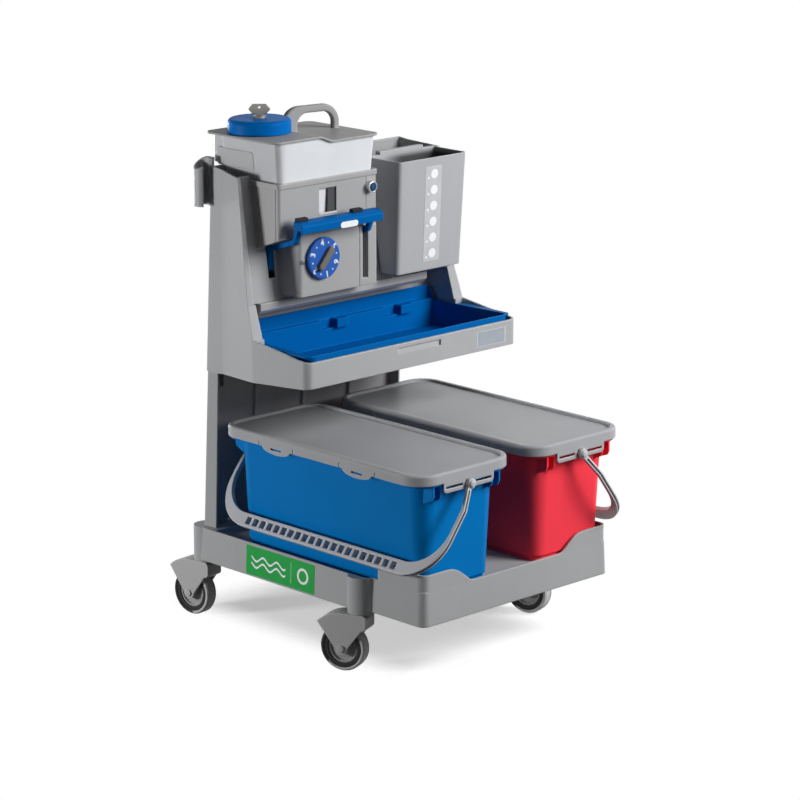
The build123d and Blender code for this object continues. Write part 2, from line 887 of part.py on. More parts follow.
def make_tank_housing():
    shell = side_prism(housing_outline(0, housing_top), housing_left, housing_right)
    rim_low = housing_top - housing_rim_height
    rim = side_prism([
        (housing_front - housing_rim_reach, rim_low),
        (wall_line(rim_low), rim_low),
        (wall_line(housing_top), housing_top),
        (housing_front - housing_rim_reach, housing_top),
    ], housing_left - housing_rim_reach, housing_right + housing_rim_reach)
    shell = fillet(shell.edges().filter_by(Axis.Z), housing_edge_rounding)
    rim = fillet(rim.edges().filter_by(Axis.Z), housing_edge_rounding + housing_rim_reach)
    shell = shell + rim
    inner = housing_outline(housing_wall, housing_top + 5)
    inner = side_prism(inner, housing_left + housing_wall, housing_right - housing_wall)
    inner = fillet(inner.edges().filter_by(Axis.Z), housing_edge_rounding - housing_wall)
    shell = shell - inner
    seam_half = housing_seam_width / 2
    seam_y = housing_front + housing_side_seam
    shell = shell - block(
        housing_left - 1, housing_left + housing_seam_depth, seam_y - seam_half, seam_y + seam_half,
        housing_floor(seam_y) - housing_wall, rim_low)
    shell = shell - block(
        housing_front_seam_x - seam_half, housing_front_seam_x + seam_half, housing_front - 1,
        housing_front + housing_seam_depth, housing_front_bottom, rim_low)
    window = block(
        window_left, window_right, housing_front - 1, housing_front + housing_wall + 1,
        window_bottom, window_top)
    shell = shell - window
    return shell - rod_y(
        bezel_radius - bezel_wall, housing_front - 1, housing_front + housing_wall + 1, button_x, button_z)


nodes["tank_housing"] = make_tank_housing()


# Dial housing: a shell under the tank housing with a slot for the right lever arm
def dial_housing_outline(inset):
    front = dial_housing_front + inset
    bottom = dial_housing_bottom + inset
    top_rear = floor_meets_wall(-inset)
    return [
        (front, bottom),
        (wall_line(bottom), bottom),
        (top_rear, housing_floor(top_rear) - inset),
        (front, housing_floor(front) - inset),
    ]


def make_dial_housing():
    shell = side_prism(dial_housing_outline(0), dial_housing_left, dial_housing_right)
    front_edges = shell.edges().filter_by(Axis.Z).sort_by(Axis.X)
    shell = fillet(front_edges[:1], dial_housing_rounding)
    inner = side_prism(
        dial_housing_outline(dial_housing_wall),
        dial_housing_left + dial_housing_wall, panel_seam_x - panel_seam_width)
    shell = shell - inner
    seam_depth = dial_housing_wall / 2
    shell = shell - block(
        panel_seam_x, panel_seam_x + panel_seam_width,
        dial_housing_front - 1, dial_housing_front + seam_depth, dial_housing_bottom, housing_top)
    slot_low = right_arm_left - arm_side_gap
    slot_high = right_arm_left + right_arm_width + arm_side_gap
    shell = shell - block(slot_low, slot_high, lever_front, pivot_y, arm_slot_bottom, housing_top)
    shell = shell - rod_y(
        dial_shaft_radius + running_gap, dial_housing_front - 1, dial_housing_front + dial_housing_wall + 1,
        dial_x, dial_z)
    dot_front = dial_housing_front - index_dot_height
    dot = rod_y(index_dot_radius, dot_front, dial_housing_front + 1, dial_x - index_dot_offset, dial_z)
    return shell + dot


def make_dosing_chamber():
    low = dial_housing_bottom + dial_housing_wall
    neck_top = low + chamber_height / 2
    y = dial_housing_front + dial_housing_wall + chamber_radius + chamber_wall
    chamber = rod_z(chamber_radius, low, low + chamber_height, chamber_x, y)
    chamber = chamber + side_prism([
        (y, low), (wall_line(low), low), (wall_line(neck_top), neck_top), (y, neck_top),
    ], chamber_x - chamber_radius, chamber_x + chamber_radius)
    return chamber - rod_z(
        chamber_radius - chamber_wall, low + chamber_wall, low + chamber_height, chamber_x, y)


nodes["dial_housing"] = make_dial_housing()
nodes["dosing_chamber"] = make_dosing_chamber()


# Dial: knob, grip and shaft turn together
def make_dial_knob():
    knob = rod_y(dial_radius, knob_front, knob_back, dial_x, dial_z)
    front_edge = knob.edges().filter_by(GeomType.CIRCLE).sort_by(Axis.Y)[:1]
    knob = fillet(front_edge, dial_edge_rounding)
    return knob - rod_y(dial_shaft_radius, knob_front + dial_shaft_sink, knob_back, dial_x, dial_z)


def make_dial_grip():
    grip = Pos(dial_x, dial_z) * SlotOverall(dial_grip_length, dial_grip_width, rotation=dial_grip_angle)
    grip = extrude(Plane.XZ.offset(-knob_front) * grip, amount=dial_grip_height, dir=(0, -1, 0))
    return fillet(grip.faces().sort_by(Axis.Y)[0].edges(), dial_edge_rounding)


def make_dial_shaft():
    front = knob_front + dial_shaft_sink
    return rod_y(dial_shaft_radius, front, front + dial_shaft_length, dial_x, dial_z)


nodes["dial_knob"] = make_dial_knob()
nodes["dial_grip"] = make_dial_grip()
nodes["dial_shaft"] = make_dial_shaft()


# Button in a bright ring on the tank housing, held out by a spring
def make_bezel():
    front = housing_front - bezel_reach
    ring = rod_y(bezel_radius, front, housing_front, button_x, button_z)
    ring = fillet(ring.edges().filter_by(GeomType.CIRCLE).sort_by(Axis.Y)[:1], bezel_rounding)
    return ring - rod_y(bezel_radius - bezel_wall, front, housing_front, button_x, button_z)


def make_button():
    front = housing_front - bezel_reach - button_proud
    radius = bezel_radius - bezel_wall - running_gap
    button = rod_y(radius, front, front + button_length, button_x, button_z)
    return chamfer(button.edges().filter_by(GeomType.CIRCLE).sort_by(Axis.Y)[:1], bezel_rounding)


def make_button_seat():
    front = housing_front + housing_wall
    spring_radius = bezel_radius - bezel_wall - turning_gap
    seat = rod_y(bezel_radius - bezel_wall / 2, front, front + button_seat_thickness, button_x, button_z)
    return seat - rod_y(spring_radius, front, front + button_seat_thickness / 2, button_x, button_z)


nodes["button_bezel"] = make_bezel()
nodes["button"] = make_button()
nodes["button_seat"] = make_button_seat()


# Press lever: a lipped bar on two cranked arms that turn on short pins
def arm_outline():
    elbow_y = housing_front - 2 * arm_clear_of_housing
    elbow_z = housing_floor(elbow_y) - arm_clear_of_housing
    leg_rear = pivot_y + leg_width / 2
    leg_front = pivot_y - leg_width / 2
    top_rear = housing_floor(leg_rear) - arm_clear_of_housing
    foot = pivot_z - leg_width / 2
    return [
        (lever_back, lever_top - lever_plate / 2),
        (lever_back - arm_depth, lever_top - lever_plate),
        (elbow_y - arm_depth, elbow_z - arm_depth / 2),
        (elbow_y - arm_depth / 2, elbow_z - arm_depth),
        (leg_front, housing_floor(leg_front) - arm_clear_of_housing - arm_depth),
        (leg_front, foot + leg_chamfer),
        (leg_front + leg_chamfer, foot),
        (leg_rear - leg_chamfer, foot),
        (leg_rear, foot + leg_chamfer),
        (leg_rear, top_rear),
        (elbow_y, elbow_z),
    ]


def make_lever():
    lip_top = lever_top - lever_slope - lever_nose / 2
    nose_top = lever_top - lever_slope + lever_nose / 2
    top = [(lever_front, lip_top), (lever_front + lever_nose, nose_top), (lever_back, lever_top)]
    lip_back = lever_front + lever_plate
    lever = side_prism([
        (lever_front, lever_bottom),
        *top,
        (lever_back, lever_top - lever_plate),
        (lip_back + lever_nose, nose_top - lever_plate),
        (lip_back, lip_top - lever_plate),
        (lip_back, lever_bottom),
    ], lever_left, lever_right)
    end_bottom = lever_bottom + lever_plate
    end = [(lever_front, end_bottom), *top, (lever_back, end_bottom)]
    for left in (lever_left, lever_right - lever_plate):
        lever = lever + side_prism(end, left, left + lever_plate)
    for left, width in ((left_arm_left, left_arm_width), (right_arm_left, right_arm_width)):
        arm = side_prism(arm_outline(), left, left + width)
        lever = lever + arm
        bore = rod_x(pivot_pin_radius + running_gap, left - 1, left + width + 1, pivot_y, pivot_z)
        lever = lever - bore
    return lever


def make_lever_pads():
    fall = (lever_slope - lever_nose / 2) / (lever_back - lever_front - lever_nose)
    front = lever_back - pad_depth
    front_low = lever_top - pad_depth * fall
    pads = Part()
    for x in (left_pad_x, right_pad_x):
        pads = pads + side_prism([
            (front, front_low),
            (lever_back, lever_top),
            (lever_back, lever_top + pad_height),
            (front, front_low + pad_height),
        ], x - pad_width / 2, x + pad_width / 2)
    return pads


def make_lever_pins():
    pins = Part()
    for left, width in ((left_arm_left, left_arm_width), (right_arm_left, right_arm_width)):
        reach = arm_side_gap + lug_thickness
        pins = pins + rod_x(pivot_pin_radius, left - reach, left + width + reach, pivot_y, pivot_z)
    return pins


nodes["lever"] = make_lever()
nodes["lever_pads"] = make_lever_pads()
nodes["lever_pins"] = make_lever_pins()


# Outlet bar under the roof of the tray bay
def make_outlet_bar():
    low = roof_bottom - outlet_height
    bar = side_prism([
        (outlet_front, low + outlet_bevel),
        (outlet_front + outlet_bevel, low),
        (outlet_front + outlet_depth, low),
        (outlet_front + outlet_depth, roof_bottom),
        (outlet_front, roof_bottom),
    ], outlet_left, outlet_right)
    count = int((outlet_right - outlet_left) / outlet_slot_pitch)
    middle = (outlet_left + outlet_right) / 2
    y = outlet_front + outlet_depth / 2
    for step in range(count):
        x = middle + (step - (count - 1) / 2) * outlet_slot_pitch
        bar = bar - block(
            x - outlet_slot_length / 2, x + outlet_slot_length / 2,
            y - outlet_slot_width / 2, y + outlet_slot_width / 2, low, low + outlet_slot_depth)
    return bar


nodes["outlet_bar"] = make_outlet_bar()


# Bin: a tapered open box that hooks over the front wall
def make_bin():
    rear_low = wall_line(bin_bottom) - turning_gap
    rear_high = wall_line(bin_top) - turning_gap
    low = (bin_bottom_left, bin_bottom_right, bin_front_bottom, rear_low, bin_corner, bin_bottom)
    high = (bin_top_left, bin_top_right, bin_front_top, rear_high, bin_corner, bin_top)
    box = rounded_loft(low, high)
    inner_corner = bin_corner - bin_wall
    low = (
        bin_bottom_left + bin_wall, bin_bottom_right - bin_wall,
        bin_front_bottom + bin_wall, rear_low - bin_wall, inner_corner, bin_bottom + bin_wall)
    high = (
        bin_top_left + bin_wall, bin_top_right - bin_wall,
        bin_front_top + bin_wall, rear_high - bin_wall, inner_corner, bin_top)
    box = box - rounded_loft(low, high)
    middle = (bin_top_left + bin_top_right) / 2
    left = middle - bin_hook_width / 2
    right = middle + bin_hook_width / 2
    hook_low = cheek_top_z + bin_hook_gap
    hook_high = hook_low + bin_hook_height
    lip_front = wall_line(hook_low) + station_wall + bin_hook_gap
    lip_rear = lip_front + bin_hook_lip
    hook = block(left, right, rear_high - bin_wall, lip_rear, hook_low, hook_high)
    hook = hook + block(left, right, rear_high - bin_wall, rear_high - turning_gap, bin_top - 1, hook_high)
    hook = hook + block(left, right, lip_front, lip_rear, hook_low - bin_hook_drop, hook_high)
    return box + hook


nodes["bin"] = make_bin()


# Tray: narrowing to the back, with a flange in front, a raised back, a ledge and two stops
def tray_plan(inset, rear):
    front = tray_front + inset
    half_front = tray_half(front) - inset
    half_rear = tray_half(rear) - inset
    outline = Polygon(
        (-half_front, front), (half_front, front), (half_rear, rear), (-half_rear, rear), align=None)
    corners = outline.vertices().sort_by(Axis.Y)
    return fillet(corners[:2], tray_corner - inset)


def make_tray():
    tray = plan_prism(tray_plan(0, tray_rear), shelf_floor, tray_rim)
    flange = Rectangle(2 * tray_flange_half_width, tray_waist - tray_front)
    flange = fillet(flange.vertices().sort_by(Axis.Y)[:2], tray_corner)
    flange = Pos(0, (tray_waist + tray_front) / 2) * flange
    tray = tray + plan_prism(flange, tray_rim - tray_flange_thickness, tray_rim)
    tray = tray + block(
        -tray_rear_half_width, tray_rear_half_width, tray_back_start, tray_rear, tray_rim, tray_back_rim)
    ledge_front = tray_rear - tray_wall - tray_ledge_depth
    inner = tray_plan(tray_wall, ledge_front)
    tray = tray - plan_prism(inner, shelf_floor + tray_wall, tray_back_rim)
    inner_half = tray_rear_half_width - tray_wall
    tray = tray - block(
        -inner_half, inner_half, ledge_front - tray_wall, tray_rear - tray_wall, tray_ledge_z, tray_back_rim)
    slope = side_prism([
        (tray_back_start - 1, tray_rim),
        (tray_rear - tray_wall, tray_back_rim),
        (tray_back_start - 1, tray_back_rim),
    ], -tray_half_width, tray_half_width)
    tray = tray - slope
    for left in (tray_left_stop - tray_stop_width / 2, tray_right_stop - tray_stop_width / 2):
        stop_low = tray_ledge_z - tray_stop_height
        middle = left + tray_stop_width
        tray = tray - block(
            left, middle, ledge_front - 1, ledge_front + tray_stop_depth, stop_low, tray_back_rim)
        tray = tray + block(
            middle + tray_stop_gap, middle + tray_stop_width, ledge_front - tray_stop_depth,
            ledge_front + 1, stop_low, tray_ledge_z)
    return tray


nodes["tray"] = make_tray()


# Tank: tapered shell, lid with an S-shaped top, neck and handle, screw cap with lock and key
def lid_bottom_points():
    points = []
    span = lid_curve_right - lid_curve_left
    for step in range(13):
        share = step / 12
        ease = (1 - math.cos(math.pi * share)) / 2
        top = lid_high - ease * (lid_high - lid_low)
        points.append((lid_curve_left + span * share, top - lid_thickness))
    return points


def lid_wave(shift, bottom_z):
    points = [(x, z + shift) for x, z in lid_bottom_points()]
    wave = Spline(points, tangents=[(1, 0), (1, 0)])
    left = lid_left - lid_thickness
    right = lid_right + lid_thickness
    high_line = Line((left, points[0][1]), points[0])
    low_line = Line(points[-1], (right, points[-1][1]))
    sides = Polyline((right, points[-1][1]), (right, bottom_z), (left, bottom_z), (left, points[0][1]))
    face = make_face(Plane.XZ.offset(-lid_rear) * (high_line + wave + low_line + sides))
    return extrude(face, amount=lid_rear - lid_front, dir=(0, -1, 0))


def tank_shoulder(inset):
    share = (shoulder_bottom - tank_seat) / (lid_high - tank_seat)
    left = tank_bottom_left + share * (tank_top_left - tank_bottom_left)
    right = tank_bottom_right + share * (tank_top_right - tank_bottom_right)
    front = (tank_bottom_front + tank_bottom_rear) / 2
    return rounded_plate(
        right - left - 2 * inset, shoulder_rear - front - 2 * inset, tank_corner - inset,
        (left + right) / 2, (front + shoulder_rear) / 2, shoulder_bottom + inset, lid_high)


def make_tank_body():
    low = (tank_bottom_left, tank_bottom_right, tank_bottom_front, tank_bottom_rear, tank_corner, tank_seat)
    high = (tank_top_left, tank_top_right, tank_top_front, tank_top_rear, tank_corner, lid_high)
    body = rounded_loft(low, high) + tank_shoulder(0)
    body = body & lid_wave(0, tank_seat)
    corner = tank_corner - tank_wall
    low = (
        tank_bottom_left + tank_wall, tank_bottom_right - tank_wall, tank_bottom_front + tank_wall,
        tank_bottom_rear - tank_wall, corner, tank_seat + tank_wall)
    high = (
        tank_top_left + tank_wall, tank_top_right - tank_wall, tank_top_front + tank_wall,
        tank_top_rear - tank_wall, corner, lid_high)
    body = body - rounded_loft(low, high) - tank_shoulder(tank_wall)
    return body - rod_z(outlet_radius, tank_seat, tank_seat + tank_wall, valve_x, valve_y)


def make_tank_lid():
    band = lid_wave(lid_thickness, tank_seat) - lid_wave(0, tank_seat)
    plan = rounded_plate(
        lid_right - lid_left, lid_rear - lid_front, lid_corner,
        (lid_left + lid_right) / 2, (lid_front + lid_rear) / 2, tank_seat, handle_top)
    lid = band & plan
    neck_outer = cap_radius - cap_wall - turning_gap
    neck_top = cap_top - cap_top_thickness - turning_gap
    neck = rod_z(neck_outer, lid_high - lid_thickness / 2, neck_top, cap_x, cap_y)
    lid = lid + neck + handle()
    return lid - rod_z(neck_outer - neck_wall, lid_high - lid_thickness - 1, neck_top + 1, cap_x, cap_y)


def handle():
    low = lid_low - lid_thickness
    bar = handle_section
    width = handle_right - handle_left
    outer = Polygon((-width, low), (-width, handle_top), (0, handle_top), (0, low), align=None)
    outer = fillet(outer.vertices().sort_by(Axis.Y)[-2:], handle_corner)
    inner_left = handle_left_leg - width
    inner = Polygon(
        (inner_left, low), (inner_left, handle_top - bar), (-bar, handle_top - bar), (-bar, low), align=None)
    inner = fillet(inner.vertices().sort_by(Axis.Y)[-2:], handle_corner - bar)
    arch = extrude(Plane.XZ * (outer - inner), amount=bar / 2, both=True)
    long_edges = arch.faces().filter_by(Axis.Y).edges().filter_by_position(Axis.Z, low + 1, handle_top + 1)
    arch = Pos(handle_right, handle_y, 0) * Rot(0, 0, -handle_skew) * fillet(long_edges, handle_rounding)
    return arch - lid_wave(lid_thickness / 2, tank_seat)


def make_cap():
    cap = rod_z(cap_radius, cap_bottom, cap_top, cap_x, cap_y)
    cap = fillet(cap.edges().filter_by(GeomType.CIRCLE).sort_by(Axis.Z)[-1:], cap_rounding)
    cap = cap - rod_z(cap_radius - cap_wall, cap_bottom, cap_top - cap_top_thickness, cap_x, cap_y)
    return cap - rod_z(lock_radius + running_gap, cap_top - cap_top_thickness, cap_top, cap_x, cap_y)


def key_blade():
    blade = Box(key_neck_width * 0.8, key_thickness * 0.7, key_blade_depth)
    return Pos(cap_x, cap_y, lock_top - key_blade_depth / 2) * Rot(0, 0, key_angle) * blade


def make_lock():
    lock = rod_z(lock_radius, cap_top - cap_top_thickness, lock_top, cap_x, cap_y)
    return lock - key_blade()


def make_key():
    low = lock_top + key_neck_height
    middle = low + key_height / 2
    top = low + key_height
    flat_half = key_flat_width / 2
    bow = Polygon(
        (-flat_half, low), (flat_half, low), (key_width / 2, middle), (flat_half, top),
        (-flat_half, top), (-key_width / 2, middle), align=None)
    bow = fillet(bow.vertices(), key_neck_height)
    neck = Pos(0, low) * Rectangle(key_neck_width, 2 * key_neck_height)
    hole = Pos(0, top - 3 * key_hole_radius) * Circle(key_hole_radius)
    flat = extrude(Plane.XZ * (bow + neck - hole), amount=key_thickness / 2, both=True)
    return Pos(cap_x, cap_y, 0) * Rot(0, 0, key_angle) * flat + key_blade()


def make_valve():
    valve = rod_z(valve_radius, tank_seat - valve_length, tank_seat, valve_x, valve_y)
    return valve + rod_z(outlet_radius, tank_seat, tank_seat + tank_wall, valve_x, valve_y)


def make_valve_socket():
    top = tank_seat - lifting_gap
    low = top - socket_height
    socket = rod_z(valve_radius + socket_wall, low, top, valve_x, valve_y)
    socket = socket - rod_z(
        valve_radius + turning_gap, low + socket_floor_thickness, top, valve_x, valve_y)
    return socket - rod_z(socket_drain_radius, low, top, valve_x, valve_y)


nodes["tank_body"] = make_tank_body()
nodes["tank_lid"] = make_tank_lid()
nodes["tank_cap"] = make_cap()
nodes["cap_lock"] = make_lock()
nodes["cap_key"] = make_key()
nodes["tank_valve"] = make_valve()
nodes["valve_socket"] = make_valve_socket()


# Pole holder: an open ring on a pad at the rear left corner
def make_pole_holder():
    outer = holder_radius + holder_wall
    ring = rod_z(outer, holder_bottom, holder_top, holder_x, holder_y)
    start = math.radians(holder_open_start)
    end = math.radians(holder_open_end)
    reach = 3 * outer
    gap = Polygon(
        (holder_x, holder_y),
        (holder_x + reach * math.cos(start), holder_y + reach * math.sin(start)),
        (holder_x + reach * math.cos((start + end) / 2), holder_y + reach * math.sin((start + end) / 2)),
        (holder_x + reach * math.cos(end), holder_y + reach * math.sin(end)),
        align=None)
    ring = ring - plan_prism(gap, holder_bottom, holder_top)
    pad_left = -station_rear_half_width + holder_pad_thickness / 2
    pad_right = pad_left + holder_pad_width
    pad_front = rear_line(holder_top) - holder_pad_thickness
    pad_rear = rear_line(holder_bottom) + holder_pad_thickness
    pad = block(pad_left, pad_right, pad_front, pad_rear, holder_bottom, holder_outer_top)
    web = block(pad_left, holder_x + outer, pad_front, holder_y, holder_bottom, holder_top)
    holder = ring + pad + web
    holder = holder - rod_z(holder_radius, holder_bottom, holder_top, holder_x, holder_y)
    left = holder_x - outer
    right = holder_x + outer
    slanted_top = Polygon(
        (left, holder_outer_top), (right, holder_top), (right, 2 * holder_top), (left, 2 * holder_top),
        align=None)
    slanted_top = extrude(Plane.XZ.offset(-holder_y) * slanted_top, amount=outer, both=True)
    station_side = side_prism([
        (0, holder_bottom), (rear_line(holder_bottom), holder_bottom), (rear_line(holder_top), holder_top),
        (0, holder_top),
    ], -station_rear_half_width - turning_gap, 0)
    return holder - slanted_top - station_side


nodes["pole_holder"] = make_pole_holder()


# Buckets with rim, ribs and bail pins; made for the right side and mirrored for the left
def drafted(inset, z_low):
    rise = (z_low - step_top) * math.tan(math.radians(bucket_draft))
    outline = RectangleRounded(
        bucket_bottom_width + 2 * (rise - inset), bucket_bottom_length + 2 * (rise - inset),
        bucket_bottom_corner + rise - inset)
    return extrude(
        Pos(bucket_x, bucket_y, z_low) * outline, amount=bucket_rim_top - z_low, taper=-bucket_draft)


def make_bucket():
    bucket = drafted(0, step_top)
    bucket = bucket + rounded_plate(
        bucket_bottom_width - 2 * bucket_step_inset, bucket_bottom_length - 2 * bucket_step_inset,
        bucket_bottom_corner - bucket_step_inset, bucket_x, bucket_y, deck_top, step_top)
    rim_width = cover_width - 2 * cover_wall - 2 * lifting_gap
    rim_length = cover_length - 2 * cover_wall - 2 * lifting_gap
    rim_corner = cover_corner - cover_wall - lifting_gap
    rim_low = bucket_rim_top - bucket_rim_drop
    rim = rounded_plate(rim_width, rim_length, rim_corner, bucket_x, bucket_y, rim_low, bucket_rim_top)
    rim = rim - rounded_plate(
        rim_width - 2 * bucket_rim_wall, rim_length - 2 * bucket_rim_wall, rim_corner - bucket_rim_wall,
        bucket_x, bucket_y, rim_low, bucket_rim_top - bucket_rim_thickness)
    bucket = bucket + rim
    for end in (-1, 1):
        wall_y = bucket_y + end * (bucket_bottom_length / 2)
        root_y = wall_y - end * bucket_bottom_corner / 2
        rim_y = bucket_y + end * (rim_length / 2 - bucket_rim_wall / 2)
        rib_top = bucket_rim_top - bucket_rim_thickness
        rib_low = rib_top - bucket_rib_height
        for offset in (-bucket_rib_outer_x, -bucket_rib_inner_x, bucket_rib_inner_x, bucket_rib_outer_x):
            x = bucket_x + offset
            rib = side_prism([
                (root_y, rib_low - bucket_rib_bevel),
                (wall_y, rib_low - bucket_rib_bevel),
                (rim_y - end * bucket_rib_bevel / 2, rib_low),
                (rim_y, rib_low + bucket_rib_bevel),
                (rim_y, rib_top),
                (root_y, rib_top),
            ], x - bucket_rib_thickness / 2, x + bucket_rib_thickness / 2)
            bucket = bucket + rib
        plate_y = bucket_y + end * (cover_length / 2 - cover_wall - lifting_gap)
        head_y = bucket_y + end * (bail_offset + bail_arm_width / 2 + lifting_gap)
        tip_y = head_y + end * bail_head_height
        bucket = bucket + rod_y(
            bail_boss_radius, min(wall_y, plate_y), max(wall_y, plate_y), bucket_x, bail_pivot_z)
        bucket = bucket + rod_y(
            bail_pin_radius, min(wall_y, head_y), max(wall_y, head_y), bucket_x, bail_pivot_z)
        bucket = bucket + rod_y(
            bail_head_radius, min(head_y, tip_y), max(head_y, tip_y), bucket_x, bail_pivot_z)
    return bucket - drafted(bucket_wall, step_top + bucket_wall)


bucket = make_bucket()
nodes["bucket_red"] = bucket
nodes["bucket_blue"] = mirrored(bucket)


# Bucket lids with a raised border, snap tabs and end plates
def make_cover():
    skirt = rounded_plate(
        cover_width, cover_length, cover_corner, bucket_x, bucket_y, cover_skirt_bottom, cover_border_top)
    skirt = fillet(skirt.edges().group_by(Axis.Z)[-1], cover_edge_rounding)
    plate_bottom = bucket_rim_top + turning_gap
    plate_top = cover_border_top - cover_border_step
    pocket_top = plate_top - cover_plate_thickness
    cover = skirt - rounded_plate(
        cover_width - 2 * cover_wall, cover_length - 2 * cover_wall, cover_corner - cover_wall,
        bucket_x, bucket_y, cover_skirt_bottom, plate_bottom)
    cover = cover - rounded_plate(
        cover_width - 2 * cover_border_width, cover_length - 2 * cover_border_width,
        cover_corner - cover_border_width, bucket_x, bucket_y, plate_top, cover_border_top)
    cover = cover - rounded_plate(
        bucket_bottom_width, bucket_bottom_length, bucket_bottom_corner, bucket_x, bucket_y,
        plate_bottom, pocket_top)
    for side in (-1, 1):
        face_x = bucket_x + side * cover_width / 2
        inner_x = face_x - side * cover_wall
        low_x = min(face_x, inner_x)
        for end in (-1, 1):
            tab_y = bucket_y + end * tab_offset
            drop = Pos(tab_y, cover_skirt_bottom) * Ellipse(tab_half_width, tab_drop)
            below = Rectangle(2 * tab_half_width, 2 * tab_drop)
            drop = drop & Pos(tab_y, cover_skirt_bottom - tab_drop) * below
            cover = cover + extrude(Plane.YZ.offset(low_x) * drop, amount=cover_wall, dir=(1, 0, 0))
            cover = cover - block(
                low_x - 1, low_x + cover_wall + 1, tab_y - tab_slot_length / 2, tab_y + tab_slot_length / 2,
                cover_skirt_bottom - tab_slot_height, cover_skirt_bottom)
            for slit in (-1, 1):
                slit_y = tab_y + slit * tab_slit_offset
                slit_half = tab_slit_width / 2
                cover = cover - block(
                    low_x - 1, low_x + cover_wall + 1, slit_y - slit_half, slit_y + slit_half,
                    cover_skirt_bottom, cover_skirt_bottom + tab_slit_height)
    for end in (-1, 1):
        face_y = bucket_y + end * cover_length / 2
        inner_y = face_y - end * cover_wall
        low_y = min(face_y, inner_y)
        plate = block(
            bucket_x - end_plate_width / 2, bucket_x + end_plate_width / 2, low_y, low_y + cover_wall,
            end_plate_bottom, cover_skirt_bottom)
        plate = fillet(plate.edges().filter_by(Axis.Y).group_by(Axis.Z)[0], end_plate_corner)
        for side in (-1, 1):
            slot_x = bucket_x + side * end_slot_offset
            slot_z = (end_plate_bottom + cover_skirt_bottom) / 2
            plate = plate - block(
                slot_x - end_slot_length / 2, slot_x + end_slot_length / 2, low_y - 1, low_y + cover_wall + 1,
                slot_z - end_slot_height / 2, slot_z + end_slot_height / 2)
        notch_top = bail_pivot_z + bail_pin_radius + end_notch_gap
        plate = plate - block(
            bucket_x - end_notch_half_width, bucket_x + end_notch_half_width, low_y, low_y + cover_wall,
            end_plate_bottom, notch_top)
        cover = cover + plate
    return cover


cover = make_cover()
nodes["lid_red"] = cover
nodes["lid_blue"] = mirrored(cover)


# Bails: flat loops with a ladder grip, hung on the bucket pins
def bail_outline(half, reach, corner):
    wide = half + bail_bulge
    side = [(0, half), (bail_eye_radius, half), (bail_bulge_length, wide), (reach, wide)]
    outline = Polygon(*side, *[(u, -v) for u, v in reversed(side)], align=None)
    return fillet(outline.vertices().sort_by(Axis.X)[-2:], corner)


def make_bail():
    outer = bail_outline(
        bail_offset + bail_arm_width / 2, bail_reach + bail_grip_width / 2, bail_outer_corner)
    inner = bail_outline(
        bail_offset - bail_arm_width / 2, bail_reach - bail_grip_width / 2,
        bail_outer_corner - bail_grip_width / 2)
    loop = extrude(outer - inner, amount=bail_thickness / 2, both=True)
    slot_width = bail_grip_width - 2 * bail_slot_margin
    for step in range(bail_slot_count):
        y = (step - (bail_slot_count - 1) / 2) * bail_slot_pitch
        loop = loop - Pos(bail_reach, y, 0) * Box(slot_width, bail_slot_length, bail_thickness)
    for end in (-1, 1):
        middle = end * bail_offset
        low = middle - bail_arm_width / 2
        loop = loop + rod_y(bail_eye_radius, low, low + bail_arm_width, 0, 0)
        loop = loop - rod_y(bail_pin_radius + running_gap, low, low + bail_arm_width, 0, 0)
    return Pos(bucket_x, bucket_y, bail_pivot_z) * Rot(0, bail_hang_angle, 0) * loop


bail = make_bail()
nodes["bail_red"] = bail
nodes["bail_blue"] = mirrored(bail)


# The origin goes to the middle of the overall box, at floor level
boxes = [shape.bounding_box() for shape in nodes.values()]
shift_x = -(min(box.min.X for box in boxes) + max(box.max.X for box in boxes)) / 2
shift_y = -(min(box.min.Y for box in boxes) + max(box.max.Y for box in boxes)) / 2
shift_z = -min(box.min.Z for box in boxes)
for node_name, node_shape in nodes.items():
    export_step(Pos(shift_x, shift_y, shift_z) * node_shape, "parts/" + node_name + ".step")
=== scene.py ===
"""Finishes, marks and studio for a cleaning trolley with two lidded buckets and a dosing station.

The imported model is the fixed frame. Its pieces get procedural finishes here, and the thin
pieces that the solids leave out, such as the dial figures, the plain plates and the caps on the
bails' pivots, are added as surfaces on a grid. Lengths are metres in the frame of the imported
model: X to the right, Y to the rear and Z up from the floor.
"""
import json
import math

import bmesh
import bpy
import numpy as np
from mathutils import Matrix, Vector


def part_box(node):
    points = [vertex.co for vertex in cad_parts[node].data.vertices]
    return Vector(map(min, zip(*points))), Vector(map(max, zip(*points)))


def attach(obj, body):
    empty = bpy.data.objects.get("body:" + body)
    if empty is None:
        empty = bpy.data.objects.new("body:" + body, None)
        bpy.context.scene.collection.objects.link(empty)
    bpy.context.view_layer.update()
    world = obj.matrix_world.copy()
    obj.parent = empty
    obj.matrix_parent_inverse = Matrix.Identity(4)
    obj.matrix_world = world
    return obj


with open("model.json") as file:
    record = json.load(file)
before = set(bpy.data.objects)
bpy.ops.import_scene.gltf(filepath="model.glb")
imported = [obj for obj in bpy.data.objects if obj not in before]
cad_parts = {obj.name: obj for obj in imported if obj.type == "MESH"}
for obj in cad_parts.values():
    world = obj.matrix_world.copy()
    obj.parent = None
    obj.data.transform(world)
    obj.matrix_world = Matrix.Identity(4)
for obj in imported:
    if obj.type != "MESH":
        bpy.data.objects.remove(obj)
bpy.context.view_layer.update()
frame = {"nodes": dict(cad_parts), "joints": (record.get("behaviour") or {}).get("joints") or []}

bl_info = {
    "name": "Cleaning trolley dress",
    "version": (1, 0, 0),
    "blender": (4, 5, 0),
    "location": "View3D > Sidebar > Trolley",
    "description": "Finishes, dial figures, plates and studio of a cleaning trolley",
    "category": "Object",
}

